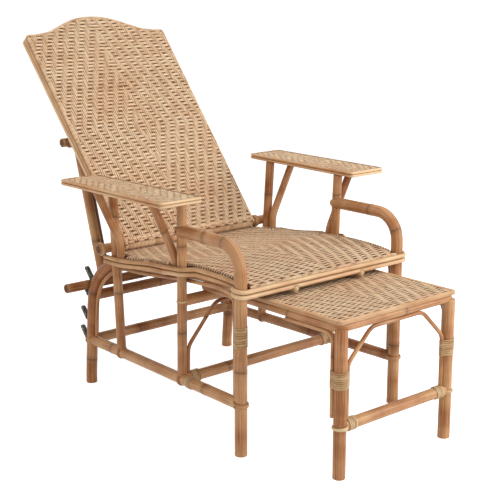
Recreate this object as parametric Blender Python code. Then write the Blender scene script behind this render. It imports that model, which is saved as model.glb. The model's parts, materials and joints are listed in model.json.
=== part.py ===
"""Rattan chaise longue: a propped reclining back, flat armrests and a footrest that slides away.

Metres, +Z up. The chair faces -Y, the sitter's right hand is at -X and every foot stands on z = 0.
The origin is on the floor under the middle of the length. Depths are measured from the front legs.
"""
import math

import bpy

# Clearances
GAP = 0.0003                    # between pieces that touch
TURN_GAP = 0.0008               # round a rod that turns in a loop

# Pole and rod diameters
LEG_DIAMETER = 0.030
POST_DIAMETER = 0.024
STRETCHER_DIAMETER = 0.0275
ARM_BRACE_DIAMETER = 0.020
THIN_BRACE_DIAMETER = 0.010
PIVOT_ROD_DIAMETER = 0.025
BACK_POLE_DIAMETER = 0.025
CROSS_RAIL_DIAMETER = 0.020
PROP_ROD_DIAMETER = 0.024
PROP_LEG_DIAMETER = 0.026
PROP_BAR_DIAMETER = 0.025
SLIDE_BAR_DIAMETER = 0.028
FOOTREST_RAIL_DIAMETER = 0.020
SEAT_ROD_DIAMETER = 0.014
BEARER_DIAMETER = 0.012

# Plan of the chair
FRONT_LEG_REACH = 0.3665        # middle of the overall length to the front legs
FRONT_LEG_X = 0.261
REAR_LEG_X = 0.242
REAR_FOOT_DEPTH = 0.648
REAR_LEG_LEAN = 0.082           # forward travel for each metre of height
FRONT_POST_FOOT_DEPTH = 0.227
FRONT_POST_TOP_DEPTH = 0.2125
REAR_POST_FOOT_DEPTH = 0.495
REAR_POST_TOP_DEPTH = 0.486

# Heights and bends of the frame
STRETCHER_HEIGHT = 0.1245
REAR_UPPER_STRETCHER_HEIGHT = 0.2505
SLIDE_BAR_HEIGHT = 0.325
BOW_HEIGHT = 0.499
BOW_BEND = 0.066
REAR_LEG_BEND = 0.16
SOLE_HEIGHT = 0.02              # upright end of a leaning leg, so that its foot is level

# Seat
SEAT_FRONT_HEIGHT = 0.407
SEAT_PEAK_HEIGHT = 0.419
SEAT_REAR_HEIGHT = 0.392
SEAT_PEAK_DEPTH = 0.15
SEAT_THICKNESS = 0.008
SEAT_SIDE_GAP = 0.0015
BEARER_X = 0.11
BEARER_RISE_DEPTH = 0.10        # depth at which a bearer reaches the underside of the seat
STRIP_HEIGHT = 0.0115
STRIP_THICKNESS = 0.008
STRIP_ROUNDING = 0.4            # share of the outer face's half that is rounded off
STRIP_DROP = 0.0092             # top of the seat edge down to the middle of the upper strip
BAND_SWING = 0.035              # depth over which the band swings out from the rail to the front post
BAND_DIP = 0.0125               # how far the band falls back in between the two posts
BAND_WRAP = math.radians(50)    # how far the front strips run on behind the sides of the front legs

# Armrests
ARM_HEIGHT = 0.590
ARM_THICKNESS = 0.015
ARM_BOARD_THICKNESS = 0.014
ARM_EDGE_WIDTH = 0.006
ARM_FRONT_DEPTH = 0.1485
ARM_REAR_DEPTH = 0.5655
ARM_INNER_FRONT_X = 0.245
ARM_INNER_REAR_X = 0.259
ARM_OUTER_FRONT_X = 0.370
ARM_OUTER_REAR_X = 0.373
ARM_CORNER = 0.010
ARM_BRACE_BEND_HEIGHT = 0.425
ARM_BRACE_LEAN = 0.49           # outward travel for each metre of height above the bend
ARM_BRACE_BEND = 0.06
ARM_BRACE_FOOT_HEIGHT = 0.38

# Thin braces
KNEE_BEND_HEIGHT = 0.205
KNEE_TOP_X = 0.152
KNEE_END_X = 0.085
THIN_BEND = 0.035
ARCH_BEND = 0.028
ARCH_BEND_HEIGHT = 0.3815
ARCH_FRONT_DEPTH = 0.085
ARCH_FRONT_X = 0.2515
ARCH_FRONT_DROP = 0.0335        # below the top of the seat, close under the seat band
ARCH_POST_ROOM = 0.0225         # in front of the front post, where the arch is already below the rail

# Reclining back, in its own plane: s runs up the back from the pivot, t stands out of its front
PIVOT_HEIGHT = 0.404
LOOP_THICKNESS = 0.004
LOOP_WIDTH = 0.010
PIVOT_ROD_OVERHANG = 0.003
BACK_ANGLE = math.radians(49.95)
BACK_BOTTOM_HALF = 0.2098
BACK_TOP_HALF = 0.2224
BACK_SHOULDER = 0.653
BACK_CORNER = 0.010
CREST_HALF = 0.200
CREST_RISE = 0.055
CREST_FULLNESS = 1.2
BACK_PANEL_THICKNESS = 0.008
BACK_PANEL_FOOT = 0.010         # how far the panel hangs below the pivot
CROSS_RAIL_S = 0.331
CROSS_RAIL_HALF = 0.226
PROP_ROD_HALF = 0.232
PROP_ROD_BEARING = math.radians(134)    # from the cross rail to the prop rod, from +s towards -t

# Prop and hooks
PROP_LEG_TOP_X = 0.181
PROP_LEG_LOW_X = 0.190
PROP_BAR_HALF = 0.311
TOP_HOOK_HEIGHT = 0.2855
SECOND_HOOK_HEIGHT = 0.2445
THIRD_HOOK_HEIGHT = 0.1775
LOW_HOOK_HEIGHT = 0.122
HOOK_IN_USE = 1                 # counted from the top, from 0
TONGUE_ANGLE = math.radians(48)
TONGUE_LENGTH = 0.042
RACK_THICKNESS = 0.002
RACK_WIDTH = 0.012
RACK_MARGIN = 0.012

# Footrest
FOOTREST_REACH = 0.239          # front legs of the chair to the legs of the footrest
FOOTREST_LEG_X = 0.180
FOOTREST_RAIL_X = 0.186
FOOTREST_NOSE = 0.011           # rails in front of the legs' axes
FOOTREST_TAIL_DEPTH = 0.222
FOOTREST_PANEL_THICKNESS = 0.008
FOOTREST_CORNER = 0.012
FOOTREST_STRETCHER_HEIGHT = 0.122
FOOTREST_BRACE_BEND = 0.262
FOOTREST_BRACE_TOP_X = 0.085
FOOTREST_BRACE_END_X = 0.032
SIDE_BRACE_FOOT = 0.14
SIDE_BRACE_BEND = 0.020
SIDE_BRACE_REACH = 0.17

# Fineness of the solids
POLE_SIDES = 4                  # bevel resolution: 12 sides
THIN_SIDES = 2                  # bevel resolution: 8 sides
BEND_STEPS = 6
LEG_BEND_STEPS = 12
RING_SIDES = 16

# Looks: base colour, roughness, metallic
POLE_LOOK = ("rattan_pole", (0.43, 0.20, 0.082, 1.0), 0.45, 0.0)
WEAVE_LOOK = ("cane_weave", (0.62, 0.38, 0.18, 1.0), 0.55, 0.0)
STRIP_LOOK = ("rattan_strip", (0.55, 0.31, 0.14, 1.0), 0.5, 0.0)
HOOK_LOOK = ("dark_steel", (0.06, 0.06, 0.05, 1.0), 0.4, 1.0)

FRONT_LEG_Y = -FRONT_LEG_REACH
LEG_R = LEG_DIAMETER / 2
POST_R = POST_DIAMETER / 2
STRETCHER_R = STRETCHER_DIAMETER / 2
ARM_BRACE_R = ARM_BRACE_DIAMETER / 2
THIN_R = THIN_BRACE_DIAMETER / 2
SIDES = (("right", -1.0), ("left", 1.0))
HOOK_HEIGHTS = (TOP_HOOK_HEIGHT, SECOND_HOOK_HEIGHT, THIRD_HOOK_HEIGHT, LOW_HOOK_HEIGHT)

looks = {}


def depth(d):
    """World Y of a depth measured back from the front legs."""
    return FRONT_LEG_Y + d


def mix(a, b, share):
    return a + (b - a) * share


def smooth(share):
    """Smooth step from 0 to 1."""
    share = min(max(share, 0.0), 1.0)
    return share * share * (3.0 - 2.0 * share)


def spread(first, last, count):
    """Evenly spaced values from first to last."""
    return [mix(first, last, i / (count - 1)) for i in range(count)]


def rounded(corners, radius, steps=BEND_STEPS):
    """Polyline through corners of any dimension, with each inner corner turned into an arc."""
    def along(start, end, length):
        total = math.dist(start, end)
        return tuple(mix(a, b, length / total) for a, b in zip(start, end))

    path = [tuple(corners[0])]
    for before, corner, after in zip(corners, corners[1:], corners[2:]):
        run_in = math.dist(before, corner)
        run_out = math.dist(corner, after)
        turn = sum((b - a) * (d - c) for a, b, c, d in zip(before, corner, corner, after))
        angle = math.acos(max(-1.0, min(1.0, turn / (run_in * run_out))))
        reach = min(radius * math.tan(angle / 2), 0.98 * run_in, 0.98 * run_out)
        start = along(corner, before, reach)
        end = along(corner, after, reach)
        middle = tuple((a + b) / 2 for a, b in zip(start, end))
        radius_used = reach / math.tan(angle / 2)
        centre = along(corner, middle, radius_used / math.cos(angle / 2))
        for i in range(steps + 1):
            sweep = i / steps * angle
            share_start = math.sin(angle - sweep) / math.sin(angle)
            share_end = math.sin(sweep) / math.sin(angle)
            path.append(tuple(c + share_start * (s - c) + share_end * (e - c)
                              for c, s, e in zip(centre, start, end)))
    path.append(tuple(corners[-1]))
    return path


def sided(points, sign):
    """Points of the left side, mirrored where sign is -1."""
    return [(sign * x, y, z) for x, y, z in points]


def material(look):
    name, colour, roughness, metallic = look
    if name not in looks:
        made = bpy.data.materials.new(name)
        made.use_nodes = True
        shader = made.node_tree.nodes["Principled BSDF"]
        shader.inputs["Base Color"].default_value = colour
        shader.inputs["Roughness"].default_value = roughness
        shader.inputs["Metallic"].default_value = metallic
        looks[name] = made
    return looks[name]


def place(name, data, look, parent=None):
    made = bpy.data.objects.new(name, data)
    made.data.materials.append(material(look))
    made.parent = parent
    collection.objects.link(made)
    return made


def new_spline(curve, points, cyclic):
    spline = curve.splines.new("POLY")
    spline.points.add(len(points) - 1)
    for slot, point in zip(spline.points, points):
        slot.co = (*point, 1.0)
    spline.use_cyclic_u = cyclic


def tube(name, points, diameter, look=POLE_LOOK, parent=None, sides=POLE_SIDES):
    """Round pole along a path."""
    curve = bpy.data.curves.new(name, "CURVE")
    curve.dimensions = "3D"
    curve.bevel_depth = diameter / 2
    curve.bevel_resolution = sides
    curve.use_fill_caps = True
    new_spline(curve, points, False)
    return place(name, curve, look, parent)


def thin_tube(name, points, parent=None):
    return tube(name, points, THIN_BRACE_DIAMETER, parent=parent, sides=THIN_SIDES)


def plate(name, outlines, thickness, look, parent=None):
    """Flat outline, with any holes, of even thickness about its own XY plane."""
    curve = bpy.data.curves.new(name, "CURVE")
    curve.dimensions = "2D"
    curve.fill_mode = "BOTH"
    curve.extrude = thickness / 2
    for outline in outlines:
        new_spline(curve, [(x, y, 0.0) for x, y in outline], True)
    return place(name, curve, look, parent)


def side_view_plate(name, outline, thickness, look, x=0.0):
    """Plate whose outline lies in the YZ plane and whose thickness runs along X."""
    made = plate(name, [outline], thickness, look)
    made.rotation_euler = (math.pi / 2, 0.0, math.pi / 2)
    made.location = (x, 0.0, 0.0)
    return made


def empty(name, location, parent=None, tilt=0.0):
    made = bpy.data.objects.new(name, None)
    made.location = location
    made.rotation_euler = (tilt, 0.0, 0.0)
    made.parent = parent
    collection.objects.link(made)
    return made


def seat_height(y):
    """Top of the seat edge: a waterfall front, a rounded peak and a low rear."""
    d = y - FRONT_LEG_Y
    if d < SEAT_PEAK_DEPTH:
        fall = ((SEAT_PEAK_DEPTH - d) / (SEAT_PEAK_DEPTH + LEG_R)) ** 3
        return mix(SEAT_PEAK_HEIGHT, SEAT_FRONT_HEIGHT, fall)
    back = smooth((d - SEAT_PEAK_DEPTH) / (REAR_POST_FOOT_DEPTH - SEAT_PEAK_DEPTH))
    return mix(SEAT_PEAK_HEIGHT, SEAT_REAR_HEIGHT, back)


RAIL_X = FRONT_LEG_X - LEG_DIAMETER - GAP
RAIL_DROP = SEAT_THICKNESS + LEG_R + 2 * GAP
BAND_FRONT_Y = FRONT_LEG_Y - LEG_R - GAP          # inner face of the seat band
SEAT_ROD_R = SEAT_ROD_DIAMETER / 2
FRONT_RAIL_Y = BAND_FRONT_Y + GAP + SEAT_ROD_R


def rail_height(y):
    """Axis of the side rail, close under the seat."""
    return seat_height(y) - RAIL_DROP


FRONT_SLOPE = (rail_height(FRONT_LEG_Y + LEG_R) - rail_height(FRONT_LEG_Y)) / LEG_R
RAIL_START_Y = FRONT_RAIL_Y + SEAT_ROD_R + GAP + LEG_R * math.sin(math.atan(FRONT_SLOPE))


def rear_leg_path():
    """Axis of the left rear leg, from its foot up and forward into the side rail."""
    foot_y = depth(REAR_FOOT_DEPTH)
    bend_end_y = foot_y - REAR_LEG_LEAN * PIVOT_HEIGHT - REAR_LEG_BEND
    corner_z = rail_height(bend_end_y)
    corner_y = foot_y - REAR_LEG_LEAN * corner_z
    side = rounded([(foot_y, 0.0), (foot_y, SOLE_HEIGHT), (corner_y, corner_z),
                    (bend_end_y - SOLE_HEIGHT, corner_z)], REAR_LEG_BEND, LEG_BEND_STEPS)
    side = side[:1] + [(foot_y, SOLE_HEIGHT)] + [p for p in side if p[1] > 2 * SOLE_HEIGHT][:-1]
    rail_ys = spread(side[-1][0] - 2 * SOLE_HEIGHT, RAIL_START_Y, 9)
    side += [(y, rail_height(y)) for y in rail_ys]
    span = corner_y - depth(REAR_POST_FOOT_DEPTH) - POST_R
    path = []
    for y, z in side:
        share = smooth((corner_y - y) / span)
        path.append((mix(REAR_LEG_X, RAIL_X, share), y, z))
    return path


def at_height(path, z):
    """Point of a rising path at a height."""
    for low, high in zip(path, path[1:]):
        if low[2] <= z <= high[2] and high[2] > low[2]:
            share = (z - low[2]) / (high[2] - low[2])
            return tuple(mix(a, b, share) for a, b in zip(low, high))
    return path[-1]


def tangent_at(path, i):
    """Unit tangent (y, z) at a point of a path."""
    before, after = path[max(i - 1, 0)], path[min(i + 1, len(path) - 1)]
    length = math.hypot(after[1] - before[1], after[2] - before[2])
    return ((after[1] - before[1]) / length, (after[2] - before[2]) / length)


def back_normal(path, z):
    """Unit tangent (y, z) and rearward normal (y, z) of a rising path at a height."""
    for i in range(len(path) - 1):
        low, high = path[i][2], path[i + 1][2]
        if low <= z <= high and high > low:
            share = (z - low) / (high - low)
            run, rise = (mix(a, b, share) for a, b in zip(tangent_at(path, i), tangent_at(path, i + 1)))
            length = math.hypot(run, rise)
            return (run / length, rise / length), (rise / length, -run / length)
    return (0.0, 1.0), (1.0, 0.0)


def inside_of(path, distance):
    """Path that keeps a distance from the front and underside of a leg and its rail."""
    moved = []
    for i, (x, y, z) in enumerate(path):
        run, rise = tangent_at(path, i)
        moved.append((x, y - rise * distance, z + run * distance))
    return moved


REAR_LEG = rear_leg_path()
STRETCHER_TOP = STRETCHER_HEIGHT + STRETCHER_R
POST_FOOT = STRETCHER_TOP + GAP
ARM_UNDERSIDE = ARM_HEIGHT - ARM_THICKNESS
POST_TOP = ARM_UNDERSIDE - GAP


def stretcher_x(y):
    """Axis of a side stretcher in plan, from the rear leg to the front leg."""
    rear = at_height(REAR_LEG, STRETCHER_HEIGHT)
    return mix(FRONT_LEG_X, rear[0], (y - FRONT_LEG_Y) / (rear[1] - FRONT_LEG_Y))


def post_point(foot_d, top_d, z):
    """Axis of an arm post: it stands on the side stretcher and leans out against the side rail."""
    foot_y = depth(foot_d)
    foot_x = stretcher_x(foot_y)
    touch_z = rail_height(foot_y)
    touch_x = RAIL_X + LEG_R + GAP + POST_R
    x = mix(foot_x, touch_x, (z - POST_FOOT) / (touch_z - POST_FOOT))
    y = depth(mix(foot_d, top_d, (z - POST_FOOT) / (POST_TOP - POST_FOOT)))
    return (x, y, z)


def front_post(z):
    return post_point(FRONT_POST_FOOT_DEPTH, FRONT_POST_TOP_DEPTH, z)


def rear_post(z):
    return post_point(REAR_POST_FOOT_DEPTH, REAR_POST_TOP_DEPTH, z)


def post_ends(post):
    """Foot and head of a leaning post, whose tilted head stays clear of the armrest."""
    low, high = post(0.0), post(1.0)
    lean = math.hypot(high[0] - low[0], high[1] - low[1])
    return [post(POST_FOOT + POST_R * lean), post(POST_TOP - POST_R * lean)]


LOOP_INNER_R = PIVOT_ROD_DIAMETER / 2 + TURN_GAP
LOOP_OUTER_R = LOOP_INNER_R + LOOP_THICKNESS
PIVOT_Y = rear_post(PIVOT_HEIGHT)[1] + POST_R + GAP + LOOP_OUTER_R
BACK_FRONT_T = BACK_POLE_DIAMETER / 2 + GAP + BACK_PANEL_THICKNESS
SEAT_REAR_Y = PIVOT_Y - math.hypot(BACK_FRONT_T, BACK_PANEL_FOOT) - 4 * GAP


RACK_SEAT = LEG_R + 2 * GAP
BAND_CORNER = LEG_R + GAP + STRIP_THICKNESS / 2
STRIP_PITCH = STRIP_HEIGHT + 2 * GAP


BAND_ALONG_X = RAIL_X + LEG_R + GAP + STRIP_THICKNESS / 2
POST_TO_BRACE = POST_R + ARM_BRACE_R + 2 * GAP


def band_x(y):
    """Middle of the seat band along the side: close to the rail, and out round the posts and their braces."""
    front, rear = front_post(SEAT_PEAK_HEIGHT), rear_post(SEAT_REAR_HEIGHT)
    clear = POST_R + GAP + STRIP_THICKNESS / 2
    front_x, rear_x = front[0] + clear, rear[0] + clear
    out_y, in_y = front[1] - POST_R, front[1] + POST_TO_BRACE + ARM_BRACE_R
    rear_y = rear[1] - POST_TO_BRACE - ARM_BRACE_R
    if y < out_y:
        return mix(BAND_ALONG_X, front_x, smooth(1.0 - (out_y - y) / BAND_SWING))
    share = min(max((y - in_y) / (rear_y - in_y), 0.0), 1.0)
    return mix(front_x, rear_x, share) - BAND_DIP * math.sin(math.pi * share) ** 2


LOOP_X = band_x(PIVOT_Y) + STRIP_THICKNESS / 2 + 2 * GAP + LOOP_WIDTH / 2


def hook_vertex(index):
    """Corner of a hook, where its tongue leaves the rack, with the leg's tangent there, in (y, z)."""
    z = HOOK_HEIGHTS[index]
    axis = at_height(REAR_LEG, z)
    tangent, normal = back_normal(REAR_LEG, z)
    off = RACK_SEAT + RACK_THICKNESS
    return (axis[1] + normal[0] * off, axis[2] + normal[1] * off), tangent


def bar_centre():
    """Middle of the prop bar, seated between the tongue in use and the rack, in (y, z)."""
    vertex, tangent = hook_vertex(HOOK_IN_USE)
    tongue = (math.cos(TONGUE_ANGLE), math.sin(TONGUE_ANGLE))
    bisector = (tangent[0] + tongue[0], tangent[1] + tongue[1])
    length = math.hypot(*bisector)
    half_angle = math.acos(tangent[0] * tongue[0] + tangent[1] * tongue[1]) / 2
    away = (PROP_BAR_DIAMETER / 2 + GAP) / math.sin(half_angle)
    return (vertex[0] + bisector[0] / length * away, vertex[1] + bisector[1] / length * away)


def build_legs():
    bow_end_y = front_post(BOW_HEIGHT + LEG_R)[1] - POST_R - GAP
    bow = rounded([(FRONT_LEG_X, FRONT_LEG_Y, 0.0), (FRONT_LEG_X, FRONT_LEG_Y, BOW_HEIGHT),
                   (front_post(BOW_HEIGHT)[0], bow_end_y, BOW_HEIGHT)], BOW_BEND, LEG_BEND_STEPS)
    for side, sign in SIDES:
        tube("front_leg_" + side, sided(bow, sign), LEG_DIAMETER)
        tube("rear_leg_" + side, sided(REAR_LEG, sign), LEG_DIAMETER)
        tube("front_arm_post_" + side, sided(post_ends(front_post), sign), POST_DIAMETER)
        tube("rear_arm_post_" + side, sided(post_ends(rear_post), sign), POST_DIAMETER)


def build_stretchers():
    rear = at_height(REAR_LEG, STRETCHER_HEIGHT)
    toe_in = abs(FRONT_LEG_X - REAR_LEG_X) / REAR_FOOT_DEPTH
    rear_y = rear[1] - LEG_R - GAP - STRETCHER_R * (REAR_LEG_LEAN + toe_in)
    front_y = FRONT_LEG_Y + LEG_R + GAP
    side_run = [(stretcher_x(y), y, STRETCHER_HEIGHT) for y in (rear_y, front_y)]
    for side, sign in SIDES:
        tube("side_stretcher_" + side, sided(side_run, sign), STRETCHER_DIAMETER)

    def across(name, x, y, z, diameter):
        tube(name, [(-x, y, z), (x, y, z)], diameter)

    post_y = depth(FRONT_POST_FOOT_DEPTH)
    across("cross_stretcher", stretcher_x(post_y) - STRETCHER_R * (1 + toe_in) - GAP, post_y,
           STRETCHER_HEIGHT, STRETCHER_DIAMETER)
    across("rear_stretcher", rear[0] - LEG_R - GAP, rear[1], STRETCHER_HEIGHT, STRETCHER_DIAMETER)
    upper = at_height(REAR_LEG, REAR_UPPER_STRETCHER_HEIGHT)
    across("rear_upper_stretcher", upper[0] - LEG_R - 2 * GAP, upper[1], upper[2], STRETCHER_DIAMETER)
    bar_low = front_post(SLIDE_BAR_HEIGHT - SLIDE_BAR_DIAMETER / 2)
    across("slide_bar", bar_low[0] - POST_R - GAP, front_post(SLIDE_BAR_HEIGHT)[1], SLIDE_BAR_HEIGHT,
           SLIDE_BAR_DIAMETER)


def build_thin_braces():
    foot_z = STRETCHER_TOP + GAP
    knee_x = front_post(foot_z)[0] - POST_R - THIN_R - 2 * GAP
    under_bar = SLIDE_BAR_HEIGHT - SLIDE_BAR_DIAMETER / 2 - THIN_R - GAP
    foot_y, bar_y = depth(FRONT_POST_FOOT_DEPTH), front_post(SLIDE_BAR_HEIGHT)[1]
    knee = rounded([(knee_x, foot_y, foot_z), (knee_x, front_post(KNEE_BEND_HEIGHT)[1], KNEE_BEND_HEIGHT),
                    (KNEE_TOP_X, bar_y, under_bar), (KNEE_END_X, bar_y, under_bar)], THIN_BEND)

    drop = LEG_R + THIN_R + 3 * GAP
    behind_leg = FRONT_LEG_Y + LEG_R + THIN_R + GAP
    arch_y = depth(ARCH_FRONT_DEPTH)
    low_y = front_post(SEAT_PEAK_HEIGHT)[1] - ARCH_POST_ROOM
    beside = LEG_R + GAP - THIN_R - 2 * GAP
    low_z = rail_height(low_y) - math.sqrt(drop ** 2 - beside ** 2)
    rise = rounded([(FRONT_LEG_X, behind_leg, foot_z), (FRONT_LEG_X, behind_leg, ARCH_BEND_HEIGHT),
                    (ARCH_FRONT_X, arch_y, seat_height(arch_y) - ARCH_FRONT_DROP),
                    (RAIL_X + beside, low_y, low_z)], ARCH_BEND)
    inner = inside_of(REAR_LEG, drop)
    under = [p for p in inner if p[2] > foot_z + SOLE_HEIGHT and p[1] > low_y + 2 * ARCH_POST_ROOM]
    under.insert(0, at_height(inner, foot_z + THIN_R * REAR_LEG_LEAN))
    for side, sign in SIDES:
        thin_tube("knee_brace_" + side, sided(knee, sign))
        thin_tube("arch_brace_" + side, sided(rise + under[::-1], sign))


def build_arms():
    def brace(post, clearance_y):
        x = max(post(ARM_BRACE_BEND_HEIGHT)[0], RAIL_X + LEG_R + ARM_BRACE_R + GAP)
        slant = math.hypot(1.0, ARM_BRACE_LEAN)
        top_z = POST_TOP - ARM_BRACE_R * ARM_BRACE_LEAN / slant
        top_x = x + ARM_BRACE_LEAN * (top_z - ARM_BRACE_BEND_HEIGHT)
        stops = ((x, ARM_BRACE_FOOT_HEIGHT), (x, ARM_BRACE_BEND_HEIGHT), (top_x, top_z))
        return rounded([(bx, post(z)[1] + clearance_y, z) for bx, z in stops], ARM_BRACE_BEND)

    front_y, rear_y = depth(ARM_FRONT_DEPTH), depth(ARM_REAR_DEPTH)

    def outline(inset, sign):
        corners = [(ARM_INNER_FRONT_X + inset, front_y + inset),
                   (ARM_OUTER_FRONT_X - inset, front_y + inset),
                   (ARM_OUTER_REAR_X - inset, rear_y - inset),
                   (ARM_INNER_REAR_X + inset, rear_y - inset)]
        start = tuple((a + b) / 2 for a, b in zip(corners[0], corners[3]))
        ring = rounded([start] + corners + [start], max(ARM_CORNER - inset, 0.001), 4)[:-1]
        return [(sign * x, y) for x, y in ring]

    for side, sign in SIDES:
        tube("front_arm_brace_" + side, sided(brace(front_post, POST_TO_BRACE), sign), ARM_BRACE_DIAMETER)
        tube("rear_arm_brace_" + side, sided(brace(rear_post, -POST_TO_BRACE), sign), ARM_BRACE_DIAMETER)
        edge = plate("armrest_edge_" + side, [outline(0.0, sign), outline(ARM_EDGE_WIDTH, sign)],
                     ARM_THICKNESS, STRIP_LOOK)
        edge.location.z = ARM_HEIGHT - ARM_THICKNESS / 2
        board = plate("armrest_board_" + side, [outline(ARM_EDGE_WIDTH + GAP, sign)],
                      ARM_BOARD_THICKNESS, WEAVE_LOOK)
        board.location.z = ARM_UNDERSIDE + ARM_BOARD_THICKNESS / 2


def strip_profile(name, strips):
    """Section of half-round strips, one under the other, drawn as a guide for the seat band."""
    curve = bpy.data.curves.new(name, "CURVE")
    curve.dimensions = "2D"
    half_t, half_h = STRIP_THICKNESS / 2, STRIP_HEIGHT / 2
    shoulder_t, shoulder_h = half_t * STRIP_ROUNDING, half_h * (1.0 - STRIP_ROUNDING)
    section = []
    for i in range(strips):
        middle = ((strips - 1) / 2 - i) * STRIP_PITCH
        section += [(shoulder_t, middle + half_h, 0), (half_t, middle + shoulder_h, 0),
                    (half_t, middle - shoulder_h, 0), (shoulder_t, middle - half_h, 0)]
    section += [(-half_t, section[-1][1], 0), (-half_t, section[0][1], 0)]
    new_spline(curve, section, True)
    guide = bpy.data.objects.new(name, curve)
    guide.hide_render = True
    guide.display_type = "WIRE"
    guides.objects.link(guide)
    return guide


def build_seat():
    front = BAND_FRONT_Y + GAP
    half = FRONT_LEG_X - LEG_R - SEAT_SIDE_GAP
    ys = spread(front, SEAT_REAR_Y, 20)
    top = [(y, seat_height(y)) for y in ys]
    under = [(y, seat_height(y) - SEAT_THICKNESS) for y in reversed(ys)]
    side_view_plate("seat_panel", top + under, 2 * half, WEAVE_LOOK)

    leg_half = FRONT_LEG_X - BAND_ALONG_X - STRIP_THICKNESS / 2
    end_y = FRONT_LEG_Y + math.sqrt(LEG_R ** 2 - leg_half ** 2) + 2 * GAP
    end_y += STRIP_PITCH * (seat_height(end_y + GAP) - seat_height(end_y)) / GAP     # its end face leans
    side_run = [(band_x(y), y) for y in spread(PIVOT_Y, end_y, 40)]
    turn = [(FRONT_LEG_X + BAND_CORNER * math.cos(a), FRONT_LEG_Y - BAND_CORNER * math.sin(a))
            for a in spread(-BAND_WRAP, math.pi / 2, 2 * BEND_STEPS + 1)]
    front_run = turn + [(-x, y) for x, y in reversed(turn)]
    one, two = strip_profile("strip_profile", 1), strip_profile("double_strip_profile", 2)
    both = STRIP_DROP + STRIP_PITCH / 2
    for name, plan, drop, guide in (("seat_band_upper", front_run, STRIP_DROP, one),
                                    ("seat_band_lower", front_run, STRIP_DROP + STRIP_PITCH, one),
                                    ("seat_band_left", side_run, both, two),
                                    ("seat_band_right", [(-x, y) for x, y in reversed(side_run)], both, two)):
        band = tube(name, [(x, y, seat_height(y) - drop) for x, y in plan], STRIP_HEIGHT, STRIP_LOOK)
        band.data.bevel_mode = "OBJECT"
        band.data.bevel_object = guide
        band.data.twist_mode = "Z_UP"

    front_z = SEAT_FRONT_HEIGHT - SEAT_THICKNESS - SEAT_ROD_R - 2 * GAP
    front_x = FRONT_LEG_X - LEG_R - GAP
    front_rail = [(-front_x, FRONT_RAIL_Y, front_z), (front_x, FRONT_RAIL_Y, front_z)]
    tube("front_seat_rail", front_rail, SEAT_ROD_DIAMETER)
    back_y = SEAT_REAR_Y - 2 * SEAT_ROD_R
    back_z = seat_height(back_y) - SEAT_THICKNESS - SEAT_ROD_R - 2 * GAP
    back_x = RAIL_X - LEG_R - GAP
    tube("back_seat_rail", [(-back_x, back_y, back_z), (back_x, back_y, back_z)], SEAT_ROD_DIAMETER)

    bearer_r = BEARER_DIAMETER / 2
    under_seat = SEAT_THICKNESS + bearer_r + 3 * GAP
    low_z = front_z - SEAT_ROD_R - bearer_r - GAP
    run = []
    for y in spread(front, back_y - SEAT_ROD_R - GAP, 16):
        share = smooth((y - RAIL_START_Y) / BEARER_RISE_DEPTH)
        run.append((BEARER_X, y, mix(low_z, seat_height(y) - under_seat, share)))
    for side, sign in SIDES:
        tube("seat_bearer_" + side, sided(run, sign), BEARER_DIAMETER, sides=THIN_SIDES)


def build_racks():
    """Metal strips up the back of the rear legs, each with a row of tongues bent out of it."""
    low_z = HOOK_HEIGHTS[-1] - RACK_MARGIN
    tongue = (math.cos(TONGUE_ANGLE), math.sin(TONGUE_ANGLE))
    drop = (math.sin(TONGUE_ANGLE) * RACK_THICKNESS, -math.cos(TONGUE_ANGLE) * RACK_THICKNESS)

    def surface(z, off):
        axis = at_height(REAR_LEG, z)
        _, normal = back_normal(REAR_LEG, z)
        return (axis[1] + normal[0] * off, axis[2] + normal[1] * off)

    top_z = HOOK_HEIGHTS[0] + RACK_MARGIN
    inner = [surface(z, RACK_SEAT) for z in spread(low_z, top_z, 16)]
    outer = [surface(top_z, RACK_SEAT + RACK_THICKNESS)]
    next_heights = HOOK_HEIGHTS[1:] + (low_z,)
    for index, (hook_z, next_z) in enumerate(zip(HOOK_HEIGHTS, next_heights)):
        vertex, tangent = hook_vertex(index)
        tip = (vertex[0] + tongue[0] * TONGUE_LENGTH, vertex[1] + tongue[1] * TONGUE_LENGTH)
        splay = math.acos(tangent[0] * tongue[0] + tangent[1] * tongue[1])
        foot = RACK_THICKNESS / math.sin(splay)
        outer += [vertex, tip, (tip[0] + drop[0], tip[1] + drop[1]),
                  (vertex[0] - tangent[0] * foot, vertex[1] - tangent[1] * foot)]
        outer += [surface(z, RACK_SEAT + RACK_THICKNESS) for z in spread(hook_z, next_z, 5)[1:-1]]
    outer.append(surface(low_z, RACK_SEAT + RACK_THICKNESS))
    for side, sign in SIDES:
        side_view_plate("hook_rack_" + side, inner + outer, RACK_WIDTH, HOOK_LOOK, sign * REAR_LEG_X)


def ring(radius):
    turns = [2 * math.pi * i / RING_SIDES for i in range(RING_SIDES)]
    return [(radius * math.cos(a), radius * math.sin(a)) for a in turns]


def build_pivot_loops():
    for side, sign in SIDES:
        rings = [ring(LOOP_OUTER_R), ring(LOOP_INNER_R / math.cos(math.pi / RING_SIDES))]
        loop = plate("pivot_loop_" + side, rings, LOOP_WIDTH, STRIP_LOOK)
        loop.rotation_euler = (0.0, math.pi / 2, 0.0)
        loop.location = (sign * LOOP_X, PIVOT_Y, PIVOT_HEIGHT)


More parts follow.
